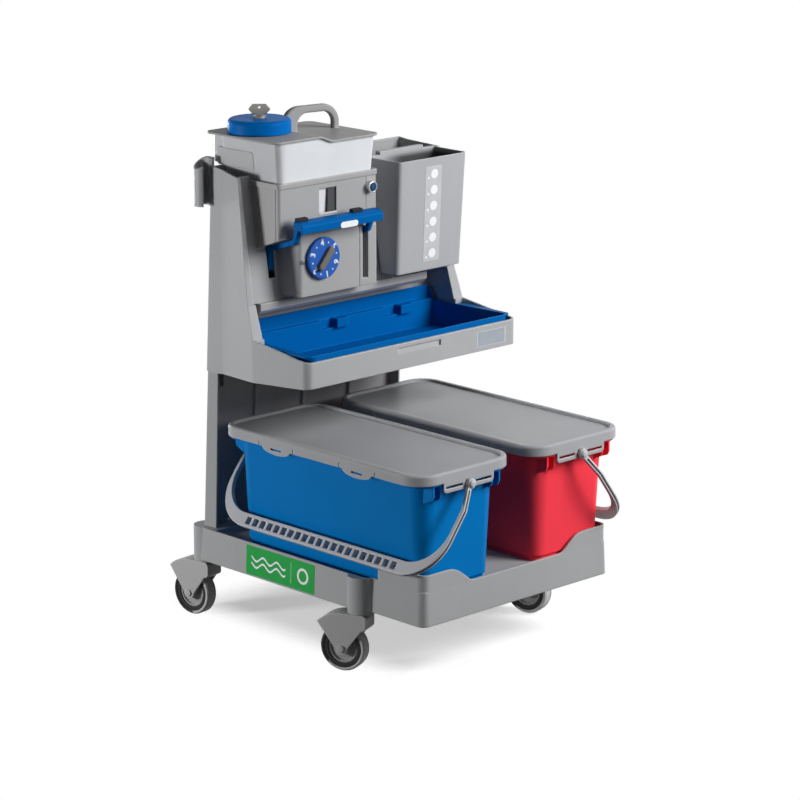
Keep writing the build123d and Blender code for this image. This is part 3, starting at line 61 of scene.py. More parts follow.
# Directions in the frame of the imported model
RIGHT = (1.0, 0.0, 0.0)
REAR = (0.0, 1.0, 0.0)
UP = (0.0, 0.0, 1.0)

# Names that repeat. A bucket's bail hangs to the left or right, an end of a bail is in front or behind
CASTORS = ("front_left", "front_right", "rear_left", "rear_right")
BUCKETS = (("blue", -1.0), ("red", 1.0))
BAIL_ENDS = (("front", -1.0), ("rear", 1.0))

# How far a hanging bail points below the level, and how far its channel goes round the corner
BAIL_HANG = math.radians(53.0)
CHANNEL_TURN = math.radians(78.0)

# Seats of plates on a left face: Y and Z
SIDE_PLATE_SEAT = (0.0468, 0.1595)
TANK_PANEL_SEAT = (0.2033, 0.9500)

# Seats of plates on a front face: X and Z
BIN_STRIP_SEAT = (0.1785, 0.8055)
SHELF_PLATE_SEAT = (0.2215, 0.5655)
LEVER_OVAL_SEAT = (-0.0885, 0.8265)
WINDOW_SILL_SEAT = (-0.1010, 0.8434)

# The middle of the dark strip painted as shade behind the window, and how much lighter it is than the bails'
# painted channel shade
WINDOW_SHADE_SEAT = (-0.0870, 0.0788, 0.8690)
WINDOW_LIGHTNESS = 1.7

# The index mark beside the dial's centre: X and Z
INDEX_OFFSET = (-0.0495, -0.003)

# The figures on the dial: their count, the angle of the first and the angle from one to the next
FIGURE_COUNT = 6
FIRST_FIGURE = math.radians(281.0)
FIGURE_STEP = math.radians(60.0)

# Type size and boldness of a figure for its height
FIGURE_TYPE = 1.4
FIGURE_BOLD = 0.045

# The bin's outer walls at its foot: where each one stands, and how far it leans out per metre of height
# They bound the shade painted on the bin's inner faces
BIN_FOOT = 0.691
BIN_RIM = 0.228
BIN_LEFT, BIN_LEFT_LEAN = 0.0855, 0.0087
BIN_RIGHT, BIN_RIGHT_LEAN = 0.2645, 0.0306
BIN_FRONT, BIN_FRONT_LEAN = 0.0748, 0.0437

# Where the tank's left wall ends, and over which length its colour changes to the shade painted on that side
TANK_LEFT, TANK_LEFT_SOFT = -0.213, 0.012

# How far in front of a node a line starts that looks for its face
CLEARANCE = 0.1

# The floor: its radius, the half sizes in X and Y that stay solid, how fast it fades beyond them
# per metre, its grey for scattered light and for the camera, and its glow towards the camera
FLOOR_RADIUS = 3.0
FLOOR_MIDDLE = (0.03, 0.06)
FLOOR_SOLID = (0.16, 0.24)
FLOOR_FADE = (8.3, 7.0)
FLOOR_LIT = (0.70, 0.70, 0.70, 1.0)
FLOOR_SEEN = (0.95, 0.95, 0.95, 1.0)
FLOOR_GLOW = 0.36

# The light from all round, and the lamps: name, place, size in metres and power in watts
WHITE = (1.0, 1.0, 1.0, 1.0)
SURROUND_LIGHT = 0.05
LAMP_TARGET = (0.0, 0.0, 0.5)
LAMPS = (
    ("key_lamp", (1.41, -2.44, 2.12), 1.5, 108.0),
    ("side_lamp", (-2.3, 1.2, 0.6), 0.5, 37.0),
    ("fill_lamp", (0.6, -3.3, 1.8), 2.0, 14.0),
    ("back_lamp", (0.3, 2.9, 0.55), 0.8, 26.0),
)

# The photograph's camera: its turn to the left, its tilt down, lens and sensor in millimetres, and place
CAMERA_TURN = math.radians(43.88)
CAMERA_TILT = math.radians(14.27)
CAMERA_LENS = 142.73
CAMERA_SENSOR = 36.0
CAMERA_SHIFT = (0.0041, 0.0004)
CAMERA_PLACE = (-4.205824, -4.386546, 2.00908)


def tone(red, green, blue):
    """A screen colour of 0 to 255 as the linear values that shaders take."""
    shares = np.array((red, green, blue)) / 255.0
    linear = np.where(shares <= 0.04045, shares / 12.92, ((shares + 0.055) / 1.055) ** 2.4)
    return tuple(linear.tolist())


def colour_property(title, text, red, green, blue):
    """A colour that a user may change, given as a screen colour of 0 to 255."""
    return bpy.props.FloatVectorProperty(
        name=title, description=text, subtype="COLOR", size=3, min=0.0, max=1.0,
        default=tone(red, green, blue))


def length_property(title, text, value):
    """A length that a user may change, in metres."""
    return bpy.props.FloatProperty(
        name=title, description=text, unit="LENGTH", subtype="DISTANCE", min=0.0, precision=5,
        default=value)


class TrolleyColours(bpy.types.PropertyGroup):
    """Colours of the trolley's plastics, metals and plates."""

    body: colour_property("Body", "Grey of the station", 171, 172, 174)
    bin: colour_property("Bin", "Grey of the bin", 178, 179, 182)
    # A dark grey painted as shade on the bin's inner faces
    bin_painted_shade: colour_property("Bin inside", "Dark grey of the grime in the bin", 66, 68, 70)
    column: colour_property("Column", "Grey of the column", 156, 157, 159)
    base: colour_property("Base", "Grey of the base and its posts", 165, 166, 167)
    panel: colour_property("Panel", "Grey of the tank and dial housings", 168, 168, 169)
    # A pale grey painted as a highlight on the ledge under the window
    sill_highlight: colour_property("Window sill", "Pale grey of the sill under the window", 226, 228, 230)
    cover: colour_property("Cover", "Grey of the bucket lids", 168, 169, 172)
    tank_cover: colour_property("Tank cover", "Grey of the tank lid and its handle", 166, 166, 166)
    blue: colour_property("Bucket blue", "Blue of the left bucket", 0, 118, 191)
    red: colour_property("Bucket red", "Red of the right bucket", 254, 66, 82)
    deep_blue: colour_property("Fitting blue", "Blue of the tray and the lever", 0, 97, 170)
    button_blue: colour_property("Button blue", "Dull blue of the push button", 36, 74, 112)
    cap_blue: colour_property("Cap blue", "Blue of the tank's screw cap", 0, 106, 188)
    dial_blue: colour_property("Dial blue", "Paler blue of the dial", 46, 98, 184)
    milk: colour_property("Tank", "Milky white of the tank", 226, 229, 234)
    # A greyer white painted as shade on the tank's left side
    milk_painted_shade: colour_property("Tank side", "Greyer white of the tank's empty left side", 194, 196, 200)
    rubber: colour_property("Tyre", "Grey of the tyres' treads", 200, 200, 201)
    fork: colour_property("Fork", "Grey of the castor forks", 182, 182, 183)
    hub: colour_property("Hub", "Grey of the wheel hubs", 166, 166, 167)
    dark: colour_property("Dark", "Near black of pads, rings and latches", 34, 35, 38)
    metal: colour_property("Metal", "Bright metal of the ring, pins and stems", 190, 191, 193)
    lock: colour_property("Lock", "Dull metal of the lock and its key", 138, 135, 130)
    bail: colour_property("Bail", "Silver grey of the bucket bails", 186, 188, 192)
    # A dark painted as shade in the bails' grooves and in the window's depth
    hollow_shade: colour_property("Hollow", "Dark of the bails' channels and of the window's depth", 62, 63, 66)
    grip: colour_property("Grip", "Warm grey of the dial's grip", 112, 108, 102)
    index_mark: colour_property("Index mark", "Blue grey of the mark beside the dial", 96, 106, 122)
    index_spot: colour_property("Index spot", "Darker grey in the middle of that mark", 70, 78, 92)
    green: colour_property("Side plate", "Green of the plate on the left beam", 0, 156, 62)
    strip: colour_property("Bin strip", "Pale grey of the strip on the bin", 196, 198, 201)
    shelf_plate: colour_property("Shelf plate", "Grey of the plate on the shelf front", 160, 167, 177)
    ink: colour_property("Ink", "White of the figures and of the marks on the plates", 244, 246, 248)


class TrolleySizes(bpy.types.PropertyGroup):
    """Sizes of the marks and plates that are added to the trolley."""

    plate_thickness: length_property("Plate thickness", "Thickness of every stuck-on plate", 0.0004)
    side_plate_length: length_property("Side plate length", "Length of the plate on the left beam", 0.200)
    side_plate_height: length_property("Side plate height", "Height of the plate on the left beam", 0.059)
    side_plate_corner: length_property("Side plate corner", "Corner radius of the left beam's plate", 0.0015)
    strip_width: length_property("Strip width", "Width of the strip on the bin", 0.045)
    strip_height: length_property("Strip height", "Height of the strip on the bin", 0.195)
    shelf_plate_width: length_property("Shelf plate width", "Width of the shelf front's plate", 0.082)
    shelf_plate_height: length_property("Shelf plate height", "Height of the shelf front's plate", 0.031)
    front_corner: length_property("Front corner", "Corner radius of the strip and the shelf plate", 0.002)
    oval_width: length_property("Oval width", "Width of the oval on the lever lip", 0.046)
    oval_height: length_property("Oval height", "Height of the oval on the lever lip", 0.012)
    panel_length: length_property("Tank panel length", "Length of the tank's raised panel", 0.109)
    panel_height: length_property("Tank panel height", "Height of the tank's raised panel", 0.036)
    panel_corner: length_property("Tank panel corner", "Corner radius of the tank's raised panel", 0.006)
    # The dark strip behind the window is painted shade
    shade_sheet_width: length_property("Blind width", "Width of the dark strip behind the window", 0.025)
    shade_sheet_height: length_property("Blind height", "Height of the dark strip behind the window", 0.054)
    shade_sheet_thickness: length_property("Blind thickness", "Thickness of the strip behind the window", 0.0009)
    sill_width: length_property("Sill width", "Width of the pale sill under the window", 0.046)
    sill_height: length_property("Sill height", "Height of the pale sill under the window", 0.0030)
    window_corner: length_property("Window corner", "Corner radius of the blind and the sill", 0.001)
    channel_width: length_property("Channel width", "Width of the dark channel along a bail's arm", 0.0042)
    channel_start: length_property("Channel start", "Distance of the channel's end from the pivot", 0.014)
    bail_bulge: length_property("Bail bulge", "How far a bail's arms lean outwards", 0.015)
    bail_bulge_start: length_property("Bulge start", "Where an arm starts to lean, from the pivot", 0.010)
    bail_bulge_end: length_property("Bulge end", "Where an arm stops leaning, from the pivot", 0.055)
    bail_reach: length_property("Bail reach", "Distance of a bail's outer edge from the pivot", 0.209)
    bail_corner: length_property("Bail corner", "Outer radius of a bail's corners", 0.090)
    cap_radius: length_property("Pivot cap radius", "Radius of the caps on the bails' pivots", 0.0082)
    cap_height: length_property("Pivot cap height", "Height of the caps on the bails' pivots", 0.0046)
    tyre_flank: length_property("Tyre flank", "Width of the dark flank beside a tyre's tread", 0.0060)
    figure_height: length_property("Figure height", "Height of the figures on the dial", 0.0125)
    figure_radius: length_property("Figure radius", "Distance of the figures from the dial's centre", 0.0318)
    figure_dot: length_property("Figure dot", "Width of the dots between the figures", 0.0036)
    index_width: length_property("Index width", "Width of the round mark beside the dial", 0.0100)
    grain_depth: length_property("Grain depth", "Depth of the moulded grain in the plastics", 0.00012)
    edge_rounding: length_property("Edge rounding", "Softness of moulded edges in the shading", 0.0034)


class Wire:
    """A socket of a finish. Python's operators on it add Math nodes."""

    def __init__(self, finish, socket):
        self.finish = finish
        self.socket = socket

    def math(self, operation, first, second=0.0):
        """The result of a Math node."""
        return self.finish.node("ShaderNodeMath", {"operation": operation}, {0: first, 1: second})

    def __add__(self, other):
        return self.math("ADD", self, other)

    def __radd__(self, other):
        return self.math("ADD", other, self)

    def __sub__(self, other):
        return self.math("SUBTRACT", self, other)

    def __rsub__(self, other):
        return self.math("SUBTRACT", other, self)

    def __mul__(self, other):
        return self.math("MULTIPLY", self, other)

    def __rmul__(self, other):
        return self.math("MULTIPLY", other, self)

    def __pow__(self, other):
        return self.math("POWER", self, other)

    def most(self, other):
        """The larger of two values."""
        return self.math("MAXIMUM", self, other)

    def least(self, other):
        """The smaller of two values."""
        return self.math("MINIMUM", self, other)

    def sine(self):
        """The sine of an angle in radians."""
        return self.math("SINE", self)

    def part(self):
        """What is left over the last whole number."""
        return self.math("FRACT", self)

    def size(self):
        """The value without its sign."""
        return self.math("ABSOLUTE", self)

    def step(self, low, high):
        """0 below low and 1 above high, with a smooth rise between."""
        return self.finish.node(
            "ShaderNodeMapRange", {"interpolation_type": "SMOOTHSTEP"},
            {"Value": self, "From Min": low, "From Max": high, "To Min": 0.0, "To Max": 1.0})

    def below(self, limit, soft):
        """1 below the limit and 0 above it, with a smooth change of the width soft to either side."""
        return 1.0 - self.step(limit - soft, limit + soft)


class Finish:
    """The nodes of a material or a world under construction. Its method node() adds any node."""

    def __init__(self, owner):
        owner.use_nodes = True
        self.owner = owner
        self.tree = owner.node_tree
        self.surface = self.tree.nodes.get("Principled BSDF")

    def node(self, kind, settings, values, output=0):
        """Adds a node, sets it, fills or links its sockets, and gives one of its outputs."""
        made = self.tree.nodes.new(kind)
        for key, value in settings.items():
            setattr(made, key, value)
        for key, value in values.items():
            self.put(made.inputs[key], value)
        return Wire(self, made.outputs[output])

    def put(self, socket, value):
        """Links a wire to a socket, or sets a plain value on it."""
        if isinstance(value, Wire):
            self.tree.links.new(value.socket, socket)
        else:
            socket.default_value = value

    def set(self, **sockets):
        """Puts values or wires on the surface shader; an underscore stands for a space."""
        for key, value in sockets.items():
            self.put(self.surface.inputs[key.replace("_", " ")], value)

    def close(self, wire):
        """Leads a shader to the output in place of the surface shader."""
        output = next(node for node in self.tree.nodes if node.type.startswith("OUTPUT_"))
        self.tree.links.new(wire.socket, output.inputs["Surface"])

    def mix(self, share, first, second):
        """A colour between two colours. Sockets 6 and 7 and output 2 are the node's colour ones."""
        return self.node(
            "ShaderNodeMix", {"data_type": "RGBA", "clamp_factor": True},
            {0: share, 6: first, 7: second}, 2)

    def place(self):
        """The place on the object, in metres."""
        return self.node("ShaderNodeTexCoord", {}, {}, "Object")

    def apart(self, vector, axis):
        """One coordinate of a vector."""
        return self.node("ShaderNodeSeparateXYZ", {}, {0: vector}, axis)

    def plate_place(self):
        """The place on a plate: 0 to 1 across it and 0 to 1 up it."""
        mapped = self.node("ShaderNodeUVMap", {"uv_map": "plate"}, {})
        return self.apart(mapped, "X"), self.apart(mapped, "Y")

    def noise(self, place, scale=1.0, detail=2.0, roughness=0.5):
        """Cloudy noise from 0 to 1. Scale is in clouds per metre."""
        values = {"Vector": place, "Scale": scale, "Detail": detail, "Roughness": roughness}
        return self.node("ShaderNodeTexNoise", {}, values, "Fac")

    def stretched(self, place, x, y, z):
        """The place with its own scale for each axis."""
        return self.node("ShaderNodeMapping", {}, {"Vector": place, "Scale": (x, y, z)})

    def softened(self, radius):
        """The normal of a surface whose edges are rounded by the radius."""
        return self.node("ShaderNodeBevel", {"samples": 4}, {"Radius": radius})

    def edges(self, soft):
        """0 on flats and up to 1 at edges, from how far the softened normal leaves the real one."""
        flat = self.node("ShaderNodeNewGeometry", {}, {}, "Normal")
        along = self.node(
            "ShaderNodeVectorMath", {"operation": "DOT_PRODUCT"}, {0: soft, 1: flat}, "Value")
        return (1.0 - along).step(0.005, 0.12)

    def bump(self, height, depth, normal, strength):
        """The normal with a relief of the given depth on it."""
        values = {"Strength": strength, "Distance": depth, "Height": height, "Normal": normal}
        return self.node("ShaderNodeBump", {}, values)


def new_finish(name):
    """An empty material, ready for nodes."""
    return Finish(bpy.data.materials.new(name))


def scaled(colour, factor):
    """The same colour, lighter or darker."""
    return tuple(min(1.0, channel * factor) for channel in colour)


def shaded(colour, factor=1.0):
    """The same colour, lighter or darker, with full opacity."""
    return scaled(colour, factor) + (1.0,)


def moulded(name, colour, roughness, grain=1.0, wear_and_highlight=0.6, gloss=0.18, glow=0.0, tint=None):
    """Injection-moulded plastic: flow clouds in the colour, a fine spark-eroded grain,
    light rub marks in the gloss, and softened edges made paler, partly as rubbing and partly as a painted
    highlight.

    Grain is a share of the usual grain's depth, the edge share says how pale the edges are from rubbing and
    painted highlight, gloss is the specular level, and glow is the share of light that scatters inside the
    wall.
    Where tint is given, it gets the finish and the place and says where the colour turns to which."""
    sizes = bpy.context.scene.trolley_sizes
    finish = new_finish(name)
    place = finish.place()
    clouds = finish.noise(place, scale=5.0, detail=3.0)
    flow = finish.noise(finish.stretched(place, 18.0, 18.0, 3.0), detail=4.0, roughness=0.6)
    speck = finish.noise(place, scale=1600.0)
    rubs = finish.noise(finish.stretched(place, 90.0, 22.0, 45.0), detail=6.0, roughness=0.72)
    soft = finish.softened(sizes.edge_rounding)
    edge = finish.edges(soft)
    cloudy = (clouds * 0.6 + flow * 0.4).step(0.3, 0.7)
    body = finish.mix(cloudy, shaded(colour, 0.965), shaded(colour, 1.035))
    if tint:
        share, other = tint(finish, place)
        body = finish.mix(share, body, shaded(other))
    # Paler edges: partly rubbing where the rub clouds fall, partly a painted highlight along every edge
    worn_and_highlit = edge * (0.45 + rubs.step(0.3, 0.65) * 0.55) * wear_and_highlight
    finish.set(Base_Color=finish.mix(worn_and_highlit, body, shaded(colour, 1.9)))
    finish.set(Roughness=roughness + rubs.step(0.45, 0.75) * 0.07 - edge * 0.05)
    relief = speck * 0.7 + rubs * 0.3
    finish.set(Normal=finish.bump(relief, sizes.grain_depth * grain, soft, strength=0.6))
    finish.set(Specular_IOR_Level=gloss, IOR=1.5)
    if glow:
        finish.set(Subsurface_Weight=glow, Subsurface_Radius=(0.02, 0.02, 0.024), Subsurface_Scale=0.5)
    return finish.owner


def polished(name, colour, roughness):
    """Bright metal with fine drawn lines and small dull spots."""
    sizes = bpy.context.scene.trolley_sizes
    finish = new_finish(name)
    place = finish.place()
    drawn = finish.noise(finish.stretched(place, 700.0, 40.0, 700.0), detail=3.0)
    dull = finish.noise(place, scale=130.0, detail=5.0, roughness=0.65)
    soft = finish.softened(sizes.edge_rounding * 0.8)
    spots = dull.step(0.5, 0.8)
    finish.set(Base_Color=finish.mix(spots, shaded(colour), shaded(colour, 0.82)))
    finish.set(Roughness=roughness + drawn * 0.10 + spots * 0.12)
    finish.set(Metallic=1.0)
    finish.set(Normal=finish.bump(drawn, sizes.grain_depth * 0.5, soft, strength=0.4))
    return finish.owner


def rubber(name, colour, roughness, flanks=None):
    """Wheel rubber: dusty clouds, fine pores and paler edges.

    Flanks are the wheel's middle, half the width of its tread and the colour beside the tread."""
    sizes = bpy.context.scene.trolley_sizes
    finish = new_finish(name)
    place = finish.place()
    dust = finish.noise(place, scale=60.0, detail=6.0, roughness=0.7)
    pores = finish.noise(place, scale=1100.0, detail=3.0, roughness=0.7)
    soft = finish.softened(sizes.edge_rounding)
    edge = finish.edges(soft)
    body = finish.mix(dust.step(0.35, 0.75), shaded(colour, 0.9), shaded(colour, 1.12))
    if flanks:
        middle, tread, dark = flanks
        beside = (finish.apart(place, "X") - middle).size().step(tread - 0.0003, tread + 0.0003)
        body = finish.mix(beside, body, shaded(dark))
    finish.set(Base_Color=finish.mix(edge * 0.12, body, shaded(colour, 1.3)))
    finish.set(Roughness=roughness + dust * 0.2)
    relief = pores * 0.6 + dust * 0.4
    finish.set(Normal=finish.bump(relief, sizes.grain_depth * 2.0, soft, strength=0.7))
    finish.set(Specular_IOR_Level=0.2)
    return finish.owner


def printed(name, ground, ink, marks):
    """A printed film: a ground colour with slight print clouds, and ink where marks(u, v) is 1."""
    finish = new_finish(name)
    place = finish.place()
    across, up = finish.plate_place()
    clouds = finish.noise(place, scale=40.0, detail=3.0)
    film = finish.mix(clouds.step(0.3, 0.7), shaded(ground, 0.96), shaded(ground, 1.04))
    finish.set(Base_Color=finish.mix(marks(across, up), film, shaded(ink)))
    finish.set(Roughness=0.4 + clouds * 0.08, Specular_IOR_Level=0.2)
    return finish.owner


def dress(material, *names):
    """Gives CAD nodes one finish."""
    for name in names:
        node = frame["nodes"][name]
        node.data.materials.clear()
        node.data.materials.append(material)


def shell_mesh(name, rings, flat):
    """A closed skin through rings of points, rows by columns, with flat as the place on the plate.

    The first and the last ring are poles: all points of one are the same and become one vertex."""
    rows, columns, _ = rings.shape
    points = np.concatenate((rings[:1, 0], rings[1:-1].reshape(-1, 3), rings[-1:, 0]))
    places = np.concatenate((flat[:1, 0], flat[1:-1].reshape(-1, 2), flat[-1:, 0]))
    index = 1 + np.arange((rows - 2) * columns).reshape(rows - 2, columns)
    beside = np.roll(index, -1, axis=1)
    quads = np.stack((index[:-1], index[1:], beside[1:], beside[:-1]), axis=-1).reshape(-1, 4)
    first = np.stack((np.zeros(columns, int), index[0], beside[0]), axis=-1)
    last = np.stack((np.full(columns, len(points) - 1), beside[-1], index[-1]), axis=-1)
    mesh = bpy.data.meshes.new(name)
    mesh.from_pydata(points.tolist(), [], quads.tolist() + first.tolist() + last.tolist())
    corners = np.zeros(len(mesh.loops), np.int32)
    mesh.loops.foreach_get("vertex_index", corners)
    layer = mesh.uv_layers.new(name="plate")
    layer.data.foreach_set("uv", places[corners].astype(np.float32).reshape(-1))
    return mesh


def plate_mesh(name, size, thickness, seat, across, up):
    """A thin plate with rounded corners, a softened edge and a closed back. Size is its width, its
    height and its corner radius.

    Round the outline, point t is the nearest corner's centre plus corner * (cos t, sin t).
    Ring s is the outline times a share of s, lifted off the seat along across x up: from the
    middle of the face over the rim to the middle of the back."""
    width, height, corner = size
    across = np.array(across, float)
    up = np.array(up, float)
    count = 72
    turn = (np.arange(count) + 0.5) * 2.0 * np.pi / count
    side = np.sign(np.cos(turn)) * (width / 2 - corner) + np.cos(turn) * corner
    rise = np.sign(np.sin(turn)) * (height / 2 - corner) + np.sin(turn) * corner
    rim = 1.0 - thickness / min(width, height)
    share = np.array((0.0, 0.4, 0.8, rim, 1.0, 1.0, 0.0))
    lift = np.array((1.0, 1.0, 1.0, 1.0, 0.6, 0.0, 0.0)) * thickness
    flat = np.stack((share[:, None] * side, share[:, None] * rise), axis=-1)
    rings = (
        np.array(seat, float) + flat[..., :1] * across + flat[..., 1:] * up
        + lift[:, None, None] * np.cross(across, up))
    return shell_mesh(name, rings, flat / np.array((width, height)) + 0.5)


def outward(mesh):
    """Turns all faces of a closed mesh outwards."""
    work = bmesh.new()
    work.from_mesh(mesh)
    bmesh.ops.recalc_face_normals(work, faces=work.faces)
    work.to_mesh(mesh)
    work.free()
    return mesh


def dome_mesh(name, seat, out, radius, height):
    """A round cap with a flat foot. Ring t has the radius r * cos(t) ** 0.5 at the height h * sin(t)."""
    out = np.array(out, float)
    across = np.cross(out, UP)
    up = np.cross(out, across)
    levels = 9
    count = 32
    rise = np.linspace(0.0, np.pi / 2, levels)
    share = np.concatenate(((0.0,), np.cos(rise[:-1]) ** 0.5, (0.0,)))
    lift = np.concatenate(((0.0,), np.sin(rise))) * height
    turn = np.arange(count) * 2.0 * np.pi / count
    flat = share[:, None, None] * np.stack((np.cos(turn), np.sin(turn)), axis=-1)
    rings = (
        np.array(seat, float) + radius * (flat[..., :1] * across + flat[..., 1:] * up)
        + lift[:, None, None] * out)
    return outward(shell_mesh(name, rings, flat / 2 + 0.5))


def channel_mesh(name, pivot, along, out, half):
    """Painted shade for the groove of a bail's arm: a thin dark strip on the arm's outer face.

    The path goes along the arm from its pivot, leans out by the bulge, and then follows the
    corner's arc: centre + corner * (sin t, cos t). The profile is a flat ellipse across it."""
    sizes = bpy.context.scene.trolley_sizes
    steps = 25
    sides = 12
    bend = sizes.bail_reach - sizes.bail_corner
    run = np.linspace(sizes.channel_start, bend, steps)
    turn = np.linspace(0.0, CHANNEL_TURN, steps)[1:]
    lean = np.interp(run, (sizes.bail_bulge_start, sizes.bail_bulge_end), (sizes.bail_bulge, 0.0))
    reach = np.concatenate((run, bend + sizes.bail_corner * np.sin(turn)))
    spread = np.concatenate((half - lean, half - sizes.bail_corner * (1.0 - np.cos(turn))))
    path = np.stack((reach, spread), axis=-1)
    way = np.gradient(path, axis=0)
    way = way / np.linalg.norm(way, axis=1, keepdims=True)
    along = np.array(along, float)
    out = np.array(out, float)
    points = np.array(pivot, float) + path[:, :1] * along + path[:, 1:] * out
    normal = way[:, :1] * out - way[:, 1:] * along
    wide = np.cross(along, out)
    angle = np.arange(sides) * 2.0 * np.pi / sides
    breadth = np.cos(angle)[None, :, None] * wide * sizes.channel_width / 2
    depth = np.sin(angle)[None, :, None] * normal[:, None, :] * sizes.plate_thickness
    body = points[:, None, :] + breadth + depth
    first = np.broadcast_to(points[:1, None, :], (1, sides, 3))
    last = np.broadcast_to(points[-1:, None, :], (1, sides, 3))
    rings = np.concatenate((first, body, last))
    place = np.linspace(0.0, 1.0, len(rings))
    flat = np.stack(np.broadcast_arrays(place[:, None], angle[None, :] / (2.0 * np.pi)), axis=-1)
    return outward(shell_mesh(name, rings, flat))


def touch(node, way, seat):
    """The point and the outward normal where a line along way meets a CAD node from outside.

    The seat gives the line's other two coordinates: Y and Z for a line to the right, and X and Z
    for one to the rear."""
    low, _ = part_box(node)
    level, height = seat
    if way == RIGHT:
        start = (low.x - CLEARANCE, level, height)
    else:
        start = (level, low.y - CLEARANCE, height)
    bpy.context.view_layer.update()
    hit, point, normal, _ = frame["nodes"][node].ray_cast(Vector(start), Vector(way))
    if not hit:
        raise RuntimeError("no surface of " + node + " lies on that line")
    return point, normal.normalized()


def seated_plate(name, node, way, seat, size, material, body):
    """A plate that lies on a CAD node's face, level in its own plane."""
    sizes = bpy.context.scene.trolley_sizes
    point, out = touch(node, way, seat)
    across = Vector(UP).cross(out).normalized()
    mesh = plate_mesh(name, size, sizes.plate_thickness, point, across, out.cross(across))
    place_piece(name, mesh, material, body)


def place_piece(name, mesh, material, body, smooth=False):
    """Puts a finished mesh into the scene as a piece that rides on a body."""
    mesh.polygons.foreach_set("use_smooth", [smooth] * len(mesh.polygons))
    mesh.materials.append(material)
    piece = bpy.data.objects.new(name, mesh)
    bpy.context.scene.collection.objects.link(piece)
    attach(piece, body)


def figure_mesh(text, height, thickness):
    """A raised figure in the XY plane, as a mesh, centred on the origin."""
    curve = bpy.data.curves.new("figure", "FONT")
    curve.body = text
    curve.size = height * FIGURE_TYPE
    curve.align_x = "CENTER"
    curve.align_y = "CENTER"
    curve.extrude = thickness / 2
    curve.offset = height * FIGURE_BOLD
    curve.resolution_u = 3
    holder = bpy.data.objects.new("figure", curve)
    bpy.context.scene.collection.objects.link(holder)
    depsgraph = bpy.context.evaluated_depsgraph_get()
    mesh = bpy.data.meshes.new_from_object(holder.evaluated_get(depsgraph))
    bpy.data.objects.remove(holder)
    bpy.data.curves.remove(curve)
    return mesh


class TROLLEY_OT_mouldings(bpy.types.Operator):
    """Finish the grey mouldings: base, column, station, pole holder and bin"""

    bl_idname = "trolley.mouldings"
    bl_label = "Grey mouldings"

    def execute(self, context):
        colours = context.scene.trolley_colours
        dress(moulded("station_grey", colours.body, 0.44, wear_and_highlight=0.9), "station_body", "pole_holder")
        dress(moulded("column_grey", colours.column, 0.44), "column")
        dress(moulded("base_grey", colours.base, 0.46), "base")
        dress(moulded("bin_grey", colours.bin, 0.38, grain=0.6, gloss=0.10, tint=self.inside), "bin")
        dress(moulded("latch_black", colours.dark, 0.45), "station_latches")
        dress(polished("screw_steel", colours.metal, 0.3), "column_screws")
        return {"FINISHED"}

    def inside(self, finish, place):
        """Painted shade in the bin: it deepens below the rim, on faces inside the sloping walls."""
        height = finish.apart(place, "Z") - BIN_FOOT
        across = finish.apart(place, "X")
        left = across - BIN_LEFT + height * BIN_LEFT_LEAN
        right = BIN_RIGHT - across + height * BIN_RIGHT_LEAN
        front = finish.apart(place, "Y") - BIN_FRONT + height * BIN_FRONT_LEAN
        depth = left.least(right).least(front).step(0.0012, 0.0022)
        shade = (BIN_RIM - height).step(-0.004, 0.012) * across.step(0.10, 0.18)
        return depth * shade, bpy.context.scene.trolley_colours.bin_painted_shade


class TROLLEY_OT_dosing(bpy.types.Operator):
    """Finish the dosing front: housings, outlet bar, lever, tray, button, dial and the pieces inside"""

    bl_idname = "trolley.dosing"
    bl_label = "Dosing front"

    def execute(self, context):
        colours = context.scene.trolley_colours
        panel = moulded("panel_grey", colours.panel, 0.40, grain=0.8, wear_and_highlight=0.9)
        dress(panel, "tank_housing", "dial_housing", "outlet_bar")
        blue = moulded("fitting_blue", colours.deep_blue, 0.36, grain=0.5, wear_and_highlight=0.5, gloss=0.03)
        dress(blue, "lever", "tray")
        button = moulded("button_blue", colours.button_blue, 0.40, grain=0.5, wear_and_highlight=0.3, gloss=0.10)
        dress(button, "button")
        dial = moulded("dial_blue", colours.dial_blue, 0.38, grain=0.5, wear_and_highlight=0.2, gloss=0.10)
        dress(dial, "dial_knob")
        dress(moulded("grip_grey", colours.grip, 0.42, grain=1.2), "dial_grip")
        dress(rubber("pad_black", colours.dark, 0.6), "lever_pads")
        dress(polished("bright_ring", colours.metal, 0.12), "button_bezel")
        dress(polished("pin_steel", colours.metal, 0.25), "lever_pins", "dial_shaft")
        inner = moulded("inner_white", colours.milk, 0.45)
        dress(inner, "dosing_chamber", "button_seat", "valve_socket", "tank_valve")
        self.window(context)
        return {"FINISHED"}

    def window(self, context):
        """A dark strip painted as shade behind the right of the window, against the inner face of the
        housing's wall, and a pale strip painted as a highlight on the ledge under it."""
        sizes = context.scene.trolley_sizes
        colours = context.scene.trolley_colours
        shade_sheet_size = (sizes.shade_sheet_width, sizes.shade_sheet_height, sizes.window_corner)
        shade_sheet = plate_mesh(
            "window_painted_shade", shade_sheet_size, sizes.shade_sheet_thickness, WINDOW_SHADE_SEAT, RIGHT, UP)
        # Painted shade: a dark sheet where the window's right reveal lies in shade
        depth = scaled(colours.hollow_shade, WINDOW_LIGHTNESS)
        dark = moulded("window_shade_paint", depth, 0.55, wear_and_highlight=0.1, gloss=0.05)
        place_piece("window_painted_shade", shade_sheet, dark, "frame")
        # Painted highlight: a pale strip along the ledge under the window
        pale = moulded("sill_painted_highlight", colours.sill_highlight, 0.4)
        sill_size = (sizes.sill_width, sizes.sill_height, sizes.window_corner)
        seated_plate(
            "window_sill_highlight", "tank_housing", REAR, WINDOW_SILL_SEAT, sill_size, pale, "frame")


